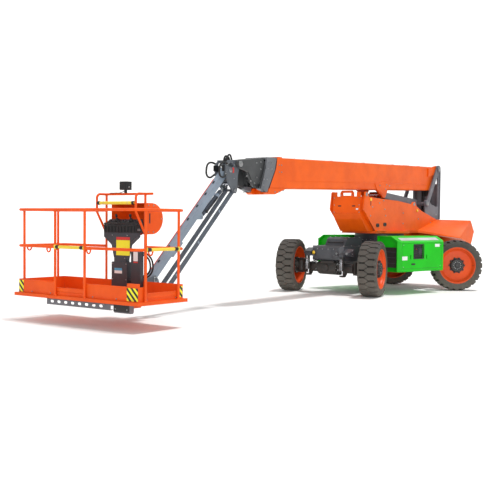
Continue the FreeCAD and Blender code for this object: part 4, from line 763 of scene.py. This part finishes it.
# along the boom from its pivot, down from its top
boomTrim = {
    "mouthBolts": ((6.02, -0.08), (6.02, -0.2), (6.09, -0.08), (6.09, -0.2)),
    "lipBolts": ((5.98, -0.52), (6.1, -0.54), (6.22, -0.54)),
    "bracketBolts": ((2.2, -0.395), (2.32, -0.375), (2.6, -0.395), (2.36, -0.47)),
    "fold": ((0.45, -0.345), (5.95, -0.345)), "padBolts": (5.2, 5.5), "caps": (0.7, 1.9, 3.1, 4.3),
    "mouth": ((6.145, -0.01), (6.194, -0.158), (6.38, -0.48)),
}
boom = Piece("boom_trim", "base_boom", "zincSteel", onBoom)
for side in sides:
    # a long fold along the lower web
    boom.use("orangePaint").sideLine(boomTrim["fold"], side, 0.2395, 0.0035)
    boom.use("zincSteel")
    boom.sideBolts(boomTrim["mouthBolts"], side, 0.24, 0.01, 0.007)
    boom.sideBolts(boomTrim["lipBolts"], side, 0.24, 0.011, 0.008)
    boom.sideBolts(boomTrim["bracketBolts"], side, 0.252, 0.012, 0.008)
    for x in boomTrim["padBolts"]:
        boom.bolt(placeAt(x, side * 0.15, 0.045), 0.012, 0.008)
for x in boomTrim["caps"]:
    boom.use("blackPlastic").plate(0.1, 0.07, 0.01, placeAt(x, 0.13, 0.045), 0.003, 0.012)
boom.use("orangePaint").plate(0.36, 0.24, 0.008, placeAt(1.3, 0, 0.045), 0.003, 0.02)
for x in (1.14, 1.46):
    for y in (-0.1, 0.1):
        boom.use("zincSteel").bolt(placeAt(x, y, 0.053), 0.008, 0.006)
# the wear pads show as a black edge round the mouth
for side in sides:
    boom.use("blackPlastic").sideLine(boomTrim["mouth"], side, 0.232, 0.007)
boom.make()

midTrim = {
    "bolts": ((6.28, -0.05), (6.36, -0.05), (6.3, -0.15), (6.42, -0.15), (6.44, -0.33), (6.52, -0.33),
              (6.54, -0.43)),
    "mouth": ((6.424, 0.0), (6.476, -0.158), (6.615, -0.475)),
}
middle = Piece("mid_trim", "mid_boom", "zincSteel", onBoom)
for side in sides:
    middle.use("zincSteel").sideBolts(midTrim["bolts"], side, 0.234, 0.01, 0.007)
    middle.use("blackPlastic").sideLine(midTrim["mouth"], side, 0.226, 0.007)
    middle.plate(0.02, 0.18, 0.012, placeAt(6.47, side * 0.185, -0.534, downward), 0.003)
middle.make()

headTrim = {
    "bolts": ((6.54, -0.04), (6.66, -0.06), (6.54, -0.16), (6.72, -0.4), (6.82, -0.36), (6.93, -0.28),
              (6.6, -0.42),
              (6.66, -0.3)),
    "pin": (7.095, -0.088), "pinRing": 0.03, "recessShade": ((6.72, -0.468), (6.88, -0.224)),
}
head = Piece("fly_trim", "fly_boom", "zincSteel", onBoom)
pinX, pinZ = headTrim["pin"]
for side in sides:
    out = (0, side, 0)
    head.use("zincSteel").sideBolts(headTrim["bolts"], side, 0.182, 0.011, 0.008)
    head.drum([(0.05, 0), (0.05, 0.01), (0.044, 0.014)], placeAt(pinX, side * 0.186, pinZ, out), 28)
    screws = [(pinX + ringX, pinZ + ringZ) for ringX, ringZ in ring(3, headTrim["pinRing"], 30)]
    head.sideBolts(screws, side, 0.199, 0.006, 0.005)
    # painted shade: a black strip and plate along the lower edge of the head stand in for the shade of the
    # recess there
    head.use("blackPlastic").sideLine(headTrim["recessShade"], side, 0.178, 0.008)
    head.plate(0.16, 0.07, 0.012, placeAt(6.62, side * 0.182, -0.445, out), 0.003, 0.02)
head.make()
print("boom made")

knuckleTrim = {
    "reach": 0.115, "pins": ((5.13, 2.25, 0.034), (5.01, 1.93, 0.024)),
    "bolts": ((5.18, 2.36), (5.1, 2.38), (5.03, 2.34), (5.04, 2.12)),
    "clips": ((5.225, 2.352), (5.262, 2.175)),
    "topHoses": ((0.0, -0.034), (0.018, 0.034), (-0.018, 0.0)), "topRadius": 0.015,
    "loop": ((5.3, 2.372), (5.4, 2.345), (5.44, 2.25), (5.425, 2.16), (5.35, 2.13)), "loopRadius": 0.016,
}
knuckle = Piece("knuckle_plate_trim", "boom_knuckle", "zincSteel")
for side in sides:
    out, reach = (0, side, 0), side * knuckleTrim["reach"]
    for x, z, radius in knuckleTrim["pins"]:
        knuckle.use("knucklePaint").drum([(radius + 0.022, 0), (radius + 0.022, 0.004),
                                          (radius + 0.018, 0.006)],
                                         placeAt(x, reach, z, out), 28)
        knuckle.use("zincSteel").drum([(radius, 0), (radius, 0.006), (radius - 0.005, 0.009)],
                                      placeAt(x, side * 0.1155, z, out), 28)
    knuckle.sideBolts(knuckleTrim["bolts"], side, knuckleTrim["reach"], 0.008, 0.006)
    # painted shade: a thin black sheet behind the opening in the plate stands in for the shade inside it;
    # then clips for the side hose
    knuckle.use("blackPlastic").plate(0.15, 0.1, 0.0022, placeAt(5.247, side * 0.0874, 2.277, out), 0.0008,
                                      0.02)
    for x, z in knuckleTrim["clips"]:
        knuckle.use("zincSteel").drum([(0.022, 0), (0.022, 0.01), (0.018, 0.014), (0.018, 0.022)],
                                      placeAt(x, reach, z, out), 20)
knuckle.use("redLabel").plate(0.07, 0.085, 0.002, placeAt(5.075, knuckleTrim["reach"], 2.255, (0, 1, 0)),
                              0.0006, 0.005)
knuckle.make()
for index, (rise, y) in enumerate(knuckleTrim["topHoses"]):
    makeHose(f"knuckle_top_hose_{index}", "boom_knuckle",
             [(5.12, y, 2.385), (5.114, y, 2.445 + rise), (5.066, y, 2.492 + rise), (5.018, y, 2.445 + rise),
              (5.004, y, 2.385)], knuckleTrim["topRadius"])
for index, side in enumerate(sides):
    (startX, startZ), (endX, endZ) = knuckleTrim["clips"]
    makeHose(f"knuckle_front_hose_{index}", "boom_knuckle",
             [(startX, side * 0.125, startZ)] + [(x, side * 0.136, z) for x, z in knuckleTrim["loop"]]
             + [(endX, side * 0.125, endZ)], knuckleTrim["loopRadius"])

# along the jib from its upper pin
jibTrim = {
    "clips": (0.35, 0.62, 0.9, 1.2, 1.5, 1.8, 2.1), "bolts": ((0.75, -0.03), (1.3, -0.03), (1.36, 0.02)),
    "seam": ((0.12, 0.035), (2.3, 0.035)), "cable": (0.28, 0.8, 1.4, 2.0, 2.28), "cableRadius": 0.006,
    "hoses": (1.35, 1.55, 1.8, 2.04), "hoseRadius": 0.009,
}
jib = Piece("jib_trim", "jib_arm", "zincSteel", onJib)
for along in jibTrim["clips"]:
    jib.use("blackPlastic").plate(0.026, 0.05, 0.012, placeAt(along, 0, 0.053), 0.003, 0.006)
for side in sides:
    out = (0, side, 0)
    jib.use("zincSteel").bolt(placeAt(0.97, side * 0.041, -0.12, out), 0.012, 0.006)
    jib.use("jibPaint").sideLine(jibTrim["seam"], side, 0.0545, 0.0025)
    jib.use("zincSteel").sideBolts(jibTrim["bolts"], side, 0.055, 0.007, 0.005)
# brace that carries the hoses below the arm
jib.use("jibPaint").plate(0.04, 0.3, 0.07, placeAt(1.7, 0, -0.048, downward), 0.004)
jib.use("zincSteel").plate(0.1, 0.06, 0.004, placeAt(1.7, 0, -0.118, downward), 0.001)
jib.make()
makeHose("jib_orange_cable", "jib_arm", [(along, -0.046, 0.06) for along in jibTrim["cable"]],
         jibTrim["cableRadius"], "orangeCable", onJib)
for index, y in enumerate((-0.016, 0.016)):
    makeHose(f"jib_hose_{index}", "jib_arm", [(along, y, -0.063) for along in jibTrim["hoses"]],
             jibTrim["hoseRadius"], at=onJib)

# the jib cylinder, from its foot on the arm to its eye on the knuckle
jibRam = {"foot": (5.740692, 0, 1.486878), "eye": (5.11, 0, 2.03), "hoseRadius": 0.006,
          "gland": ((0.0375, 0.5), (0.043, 0.504), (0.043, 0.545), (0.04, 0.56), (0.024, 0.562)),
          "hose": ((0.049, 0.15), (0.05, 0.25), (0.047, 0.38), (0.044, 0.5))}
onRam = placeAt(*jibRam["foot"], Vector(jibRam["eye"]) - Vector(jibRam["foot"]), (0, 1, 0))
ram = Piece("jib_ram_trim", "jib_cylinder_barrel", "zincSteel", onRam)
ram.use("jibPaint").drum(jibRam["gland"], None, 28)
for x, y in ring(4, 0.033):
    ram.use("zincSteel").bolt(placeAt(x, y, 0.561), 0.006, 0.004)
ram.use("blackPlastic").plate(0.05, 0.03, 0.02, placeAt(0, 0.036, 0.14, (0, 1, 0)), 0.003)
ram.make()
for index, x in enumerate((-0.012, 0.012)):
    makeHose(f"jib_ram_hose_{index}", "jib_cylinder_barrel", [(x, y, z) for y, z in jibRam["hose"]],
             jibRam["hoseRadius"], at=onRam)

linkTrim = {"pins": (0.0, 2.416), "straps": (0.5, 1.2, 1.9), "side": 0.084}
link = Piece("link_trim", "parallel_link", "zincSteel", onLink)
for side in sides:
    link.use("zincSteel")
    for along in linkTrim["pins"]:
        link.drum([(0.028, 0), (0.028, 0.002), (0.024, 0.003)],
                  placeAt(along, side * linkTrim["side"], 0, (0, side, 0)))
    link.use("jibPaint")
    for along in linkTrim["straps"]:
        link.plate(0.03, 0.05, 0.003, placeAt(along, side * linkTrim["side"], 0, (0, side, 0)), 0.001, 0.006)
link.make()
print("jib made")

rotator = {"x": 7.18, "radius": 0.098, "pins": ((6.86, 0.563, 0.032), (6.74, 0.243, 0.022)), "bolts": 8}
support = Piece("support_trim", "platform_support", "zincSteel")
for side in sides:
    for x, z, radius in rotator["pins"]:
        support.drum([(radius + 0.012, 0), (radius + 0.012, 0.004), (radius, 0.008)],
                     placeAt(x, side * 0.115, z, (0, side, 0)), 26)
support.use("hubCasting")
for index, (x, y) in enumerate(ring(12, rotator["radius"])):
    if index not in (5, 6, 7):    # no ribs where the arm joins
        support.plate(0.03, 0.3, 0.006, placeAt(rotator["x"] + x, y, 0.4, (x, y, 0)), 0.002)
support.make()

cage = {
    "front": 8.299, "side": 1.192, "midRail": 1.022,
    "folds": ((8.301, -1.19, 8.301, -0.39, 0.575), (8.301, 0.22, 8.301, 0.98, 0.583),
              (7.6, 1.193, 8.18, 1.193, 0.5),
              (8.301, -0.37, 8.301, 0.2, 0.5), (7.6, 1.193, 8.18, 1.193, 0.445),
              (8.301, -0.37, 8.301, 0.2, 0.445)),
    "rings": ((8.319, -0.519, forward), (8.319, 0.29, forward), (8.1, 1.212, (0, 1, 0)),
              (8.1, -1.212, (0, -1, 0)),
              (7.6, -1.212, (0, -1, 0))),
    "ringShape": ((0.05, 0.03), (-0.05, 0.03), (-0.046, -0.006), (-0.026, -0.036), (0.0, -0.044),
                  (0.026, -0.036),
                  (0.046, -0.006)),
    "frontBolts": (-0.9, -0.5, 0.35, 0.8), "sideBolts": (7.6, 8.15),
    "feet": ((8.189, 1.212), (7.572, 1.212), (8.189, -1.212), (7.572, -1.212), (8.319, -0.384),
             (8.319, 0.212)),
    "stripes": (("front_left", 0.2, 0.168, (8.299, 1.087, 0.488, forward)),
                ("front_right", 0.1, 0.168, (8.299, -1.137, 0.488, forward)),
                ("side_rear", 0.1, 0.15, (7.52, 1.192, 0.488, (0, 1, 0))),
                ("side_rear_right", 0.1, 0.15, (7.53, -1.192, 0.488, (0, -1, 0)))),
}
for name, width, height, spot in cage["stripes"]:
    Piece("stripes_" + name, "platform", "hazardStripes").plate(width, height, 0.002, placeAt(*spot), 0.0006,
                                                                0.004).make()


def addRing(piece, at):
    # a flat lanyard ring: its outline, a smaller one inside it, 10 mm thick
    outer = cage["ringShape"]
    inner = [(x * 0.52, -0.006 + (y + 0.006) * 0.52) for x, y in outer]
    count = len(outer)
    a, b, c = count, 2 * count, 3 * count
    points = [(x, y, z) for z in (0.0, 0.01) for ring in (outer, inner) for x, y in ring]
    faces = []
    for i in range(count):
        j = (i + 1) % count
        faces += [(i, j, b + j, b + i), (a + j, a + i, c + i, c + j), (b + i, b + j, c + j, c + i),
                  (j, i, a + i, a + j)]
    piece.add(points, faces, at)


deckTrim = Piece("deck_trim", "platform", "basketPaint")
# small box over the near front corner, then the folds along the toe boards and across the gates
deckTrim.plate(0.205, 0.03, 0.045, placeAt(8.282, 1.087, 0.584), 0.003, 0.004)
for x0, y0, x1, y1, z in cage["folds"]:
    deckTrim.bar((x0, y0, z), (x1, y1, z), 0.0045, 8)
for x, y, out in cage["rings"]:
    addRing(deckTrim, placeAt(x, y, cage["midRail"], out) @ moved(0, 0, -0.005))
deckTrim.use("zincSteel")
for y in cage["frontBolts"]:
    deckTrim.bolt(placeAt(cage["front"], y, 0.418, forward), 0.008, 0.005)
for side in sides:
    for x in cage["sideBolts"]:
        deckTrim.bolt(placeAt(x, side * cage["side"], 0.418, (0, side, 0)), 0.008, 0.005)
deckTrim.use("basketPaint")
for x, y in cage["feet"]:
    deckTrim.drum([(0.026, 0), (0.026, 0.006), (0.023, 0.012), (0.019, 0.016)], placeAt(x, y, 0.396))
deckTrim.make()

# lozenges stamped over the floor, in rows that lean one way and then the other
grip = {"step": 0.07, "long": 0.022, "wide": 0.006, "high": 0.0025, "floor": 0.3955,
        "from": (7.5, -1.16), "to": (8.28, 1.17)}
floor = Piece("floor_tread", "platform", "basketPaint")
lozenge = [(grip["long"], 0), (0, grip["wide"]), (-grip["long"], 0), (0, -grip["wide"])]
row, x = 0, grip["from"][0]
while x < grip["to"][0]:
    y = grip["from"][1] + (grip["step"] / 2 if row % 2 else 0)
    while y < grip["to"][1]:
        if not (x < 7.6 and -0.1 < y < 0.5):    # clear of the console's foot
            floor.prism(lozenge, grip["high"], turned(45 if row % 2 else -45, "Z", (x, y, grip["floor"])))
        y += grip["step"]
    x += grip["step"] / 2
    row += 1
floor.make()

# black sleeves at the ends of the yellow bars
gateSleeves = {
    "front": (((8.319, -0.362, 1.06), (8.319, -0.3, 1.06)), ((8.319, 0.128, 1.06), (8.319, 0.19, 1.06))),
    "side": (((7.594, 1.212, 1.06), (7.66, 1.212, 1.06)), ((8.1, 1.212, 1.06), (8.167, 1.212, 1.06))),
}
for name, ends in gateSleeves.items():
    sleeve = Piece(name + "_sleeves", name + "_gate_bar", "blackPlastic")
    for start, end in ends:
        sleeve.bar(start, end, 0.0245, 24)
    sleeve.make()
pressureBar = {"x": 7.627, "z": 1.672, "sleeves": ((-0.289, -0.239), (0.399, 0.449)), "bands": (-0.16, 0.32)}
x, z = pressureBar["x"], pressureBar["z"]
sleeve = Piece("pressure_bar_sleeves", "platform", "blackPlastic")
for y0, y1 in pressureBar["sleeves"]:
    sleeve.bar((x, y0, z), (x, y1, z), 0.0265, 24)
for y in pressureBar["bands"]:
    sleeve.use("zincSteel").bar((x, y - 0.004, z), (x, y + 0.004, z), 0.0245, 24)
sleeve.make()

under = Piece("under_beam_trim", "platform", "blackPlastic")
under.plate(0.292, 0.1, 0.004, placeAt(8.265, 0.856, 0.3, forward), 0.0015, 0.006)
under.use("zincSteel")
for x, y, z in ((8.268, 0.75, 0.285), (8.268, 0.96, 0.285), (8.275, -0.58, 0.33), (8.275, -0.02, 0.33),
                (8.275, 0.54, 0.33)):
    under.bolt(placeAt(x, y, z, forward), 0.008, 0.005)
under.make()
print("platform made")

# blank labels on the console: finish, how far each stands from the face, y, z, width, height, corner
console = {
    "face": 7.551,
    "labels": (("yellowLabel", 0, 0.144, 1.045, 0.27, 0.215, 0.004),
               ("redLabel", 0, 0.144, 1.175, 0.27, 0.042, 0.004),
               ("whiteLabel", 0.01, 0.06, 0.704, 0.15, 0.04, 0.003),
               ("blueLabel", 0.01, 0.06, 0.742, 0.15, 0.034, 0.003),
               ("whiteLabel", -0.02, 0.372, 0.93, 0.085, 0.13, 0.004),
               ("redLabel", -0.02, 0.372, 0.85, 0.085, 0.02, 0.003)),
    "bolts": ((0, ((-0.07, 1.22), (0.23, 1.22), (-0.02, 0.9), (0.18, 0.9)), 0.007, 0.005),
              (0.01, ((-0.055, 0.6), (0.215, 0.6), (-0.055, 0.82), (0.215, 0.82)), 0.007, 0.005),
              (-0.02, ((0.3, 0.54), (0.44, 0.54), (0.3, 0.995), (0.44, 0.995)), 0.006, 0.004)),
}
panel = Piece("console_labels", "platform", "yellowLabel")
for finish, proud, y, z, width, height, corner in console["labels"]:
    panel.use(finish).plate(width, height, 0.002, placeAt(console["face"] + proud, y, z, forward), 0.0006,
                            corner)
panel.use("zincSteel")
for proud, spots, size, height in console["bolts"]:
    for y, z in spots:
        panel.bolt(placeAt(console["face"] + proud, y, z, forward), size, height)
panel.make()

controls = {
    "ribs": 10, "ribStep": 0.064, "switchRows": (-0.028, 0.028), "switches": (-0.24, -0.12, 0.0, 0.12, 0.24),
    "sticks": (-0.06, 0.22), "guard": (-0.225, 0.385),
    "toggle": ((0.008, 0.005), (0.008, 0.014), (0.005, 0.02), (0.003, 0.03)),
    "gaiter": ((0.036, -0.01), (0.034, 0.008), (0.026, 0.012), (0.029, 0.018), (0.018, 0.024), (0.021, 0.03),
               (0.01, 0.036)),
    "grip": ((0.007, 0.03), (0.008, 0.046), (0.017, 0.056), (0.019, 0.078), (0.015, 0.09), (0.006, 0.094)),
    "stopButton": ((0.01, 0), (0.01, 0.014), (0.02, 0.018), (0.02, 0.026), (0.012, 0.031)),
}
box = Piece("control_panel", "platform", "blackPlastic")
for step in range(controls["ribs"]):
    box.plate(0.014, 0.085, 0.01, placeAt(7.556, -0.208 + controls["ribStep"] * step, 1.305, forward), 0.003,
              0.004)
# switches on the sloped top, then two sticks, the stop button and a guard bar along the front
at = placeAt(7.5, 0.08, 1.4, (0.09, 0, 0.115), (0, 1, 0))
for along in controls["switches"]:
    for rise in controls["switchRows"]:
        spot = at @ moved(rise, along, 0.0)
        box.use("consolePaint").plate(0.034, 0.06, 0.006, spot, 0.002, 0.006)
        box.use("blackPlastic").drum(controls["toggle"], spot, 14)
for y in controls["sticks"]:
    spot = placeAt(7.47, y, 1.428, (0.25, 0, 1))
    box.use("hoseRubber").drum(controls["gaiter"], spot, 22)
    box.use("blackPlastic").drum(controls["grip"], spot, 22)
box.use("redLabel").drum(controls["stopButton"], placeAt(7.46, 0.34, 1.444))
box.use("zincSteel").plate(0.05, 0.03, 0.003, placeAt(7.5, 0.4005, 1.3, (0, 1, 0)), 0.001, 0.003)
right, left = controls["guard"]
box.use("blackPlastic").bar((7.562, right, 1.388), (7.562, left, 1.388), 0.009, 14)
for y in controls["guard"]:
    box.bar((7.545, y, 1.34), (7.562, y, 1.388), 0.008)
box.make()

workLamp = {"y": 0.08, "z": 1.917, "fins": 7, "finStep": 0.016, "wireRadius": 0.005,
            "wire": ((7.44, 0.05, 1.845), (7.455, 0.02, 1.826), (7.461, -0.1, 1.818), (7.461, -0.22, 1.818))}
y, z = workLamp["y"], workLamp["z"]
lamp = Piece("lamp_trim", "platform", "blackPlastic")
lamp.plate(0.124, 0.114, 0.008, placeAt(7.497, y, z, forward), 0.003, 0.012)
lamp.use("hoseRubber").plate(0.1, 0.09, 0.006, placeAt(7.503, y, z, forward), 0.002, 0.01)
lamp.use("blackPlastic")
for step in range(workLamp["fins"]):
    lamp.plate(0.006, 0.1, 0.01, placeAt(7.387, 0.032 + workLamp["finStep"] * step, z, backward), 0.001)
for side in sides:
    lamp.use("zincSteel").bolt(placeAt(7.442, y + side * 0.065, 1.9, (0, side, 0)), 0.01, 0.008)
lamp.make()
makeHose("lamp_wire", "platform", workLamp["wire"], workLamp["wireRadius"])

consoleHood = {"y": 0.08, "half": 0.35, "bolts": ((7.34, 1.27), (7.34, 1.64), (7.24, 1.27), (7.24, 1.64),
                                                  (7.08, 1.456))}
cover = Piece("hood_panel_trim", "console_hood", "zincSteel")
for side in sides:
    y = consoleHood["y"] + side * consoleHood["half"]
    for x, z in consoleHood["bolts"]:
        cover.use("zincSteel").bolt(placeAt(x, y, z, (0, side, 0)), 0.008, 0.005)
    cover.use("blackPlastic").plate(0.024, 0.14, 0.002, placeAt(7.315, y, 1.46, (0, side, 0)), 0.0006, 0.004)
cover.plate(0.12, 0.03, 0.012, placeAt(7.045, consoleHood["y"], 1.456, backward), 0.004, 0.01)
cover.make()

# two hoses from the console down to the rotator
bundle = {"radius": 0.013, "hoses": (
    ((7.49, 0.43, 0.99), (7.43, 0.52, 0.95), (7.36, 0.54, 0.8), (7.345, 0.46, 0.66), (7.352, 0.32, 0.62),
     (7.372, 0.14, 0.585)),
    ((7.49, 0.4, 0.96), (7.43, 0.48, 0.93), (7.37, 0.5, 0.8), (7.352, 0.43, 0.68), (7.358, 0.3, 0.64),
     (7.376, 0.13, 0.6)))}
for index, points in enumerate(bundle["hoses"]):
    makeHose(f"console_hose_{index}", "platform", points, bundle["radius"])
foot = Piece("platform_foot_trim", "platform", "zincSteel")
for y in (-0.11, -0.04, 0.04, 0.11):
    for z in (0.22, 0.59):
        foot.bolt(placeAt(7.366, y, z, backward), 0.01, 0.007)
for x, y in ring(rotator["bolts"], 0.075, 22):
    foot.bolt(placeAt(rotator["x"] + x, y, 0.635), 0.01, 0.007)
foot.make()
print("console made")

studio = {
    "paper": "#f4f4f3", "paperRough": 0.9, "near": 40.0, "flat": 16.0, "bend": 8.0, "wall": 40.0,
    "half": 60.0,
    "world": 0.5,
    # strength, how wide the light spreads, and where it shines to
    "suns": {"overhead": (2.2, 7, (0.1, -0.16, -1.0)), "front": (1.3, 35, (-0.72, -0.66, -0.16))},
}


def makeFloor():
    # white paper that lies flat and curves up far behind
    yaw, bend = radians(camera["yaw"]), studio["bend"]
    facing = Vector((cos(yaw), sin(yaw), 0))
    across = Vector((-facing.y, facing.x, 0))
    profile = [(-studio["near"], 0.0), (studio["flat"], 0.0)]
    for step in range(1, 13):
        turn = radians(7.5 * step)
        profile.append((studio["flat"] + bend * sin(turn), bend - bend * cos(turn)))
    profile.append((studio["flat"] + bend, studio["wall"]))
    points = [facing * run + across * wide + Vector((0, 0, rise - 0.002))
              for run, rise in profile for wide in (-studio["half"], studio["half"])]
    faces = [(2 * i, 2 * i + 1, 2 * i + 3, 2 * i + 2) for i in range(len(profile) - 1)]
    data = bpy.data.meshes.new("studio_floor")
    data.from_pydata([tuple(point) for point in points], [], faces)
    for face in data.polygons:
        face.use_smooth = True
    obj = bpy.data.objects.new("studio_floor", data)
    bpy.context.scene.collection.objects.link(obj)
    # matt paper roll: even white with no sheen
    material = bpy.data.materials.new("studioPaper")
    material.use_nodes = True
    shader = material.node_tree.nodes["Principled BSDF"]
    shader.inputs["Base Color"].default_value = toLinear(studio["paper"])
    shader.inputs["Roughness"].default_value = studio["paperRough"]
    data.materials.append(material)


def makeSun(name, strength, spread, direction):
    light = bpy.data.lights.new(name, "SUN")
    light.energy = strength
    light.angle = radians(spread)
    obj = bpy.data.objects.new(name, light)
    obj.rotation_mode = "QUATERNION"
    obj.rotation_quaternion = Vector(direction).to_track_quat("-Z", "Y")
    bpy.context.scene.collection.objects.link(obj)


makeFloor()
world = bpy.data.worlds.new("studio")
bpy.context.scene.world = world
world.use_nodes = True
world.node_tree.nodes["Background"].inputs["Color"].default_value = (1.0, 1.0, 1.0, 1.0)
world.node_tree.nodes["Background"].inputs["Strength"].default_value = studio["world"]
for name, settings in studio["suns"].items():
    makeSun(name, *settings)
bpy.context.scene.view_settings.view_transform = "Standard"

eye = bpy.data.cameras.new("camera")
eye.lens = camera["lens"]
eye.sensor_width = 36
eye.clip_end = 200
view = bpy.data.objects.new("camera", eye)
bpy.context.scene.collection.objects.link(view)
view.matrix_world = (turned(camera["yaw"] - 90, "Z", camera["at"]) @ turned(90 + camera["pitch"], "X")
                     @ turned(camera["roll"], "Z"))
bpy.context.scene.camera = view
print("studio made")
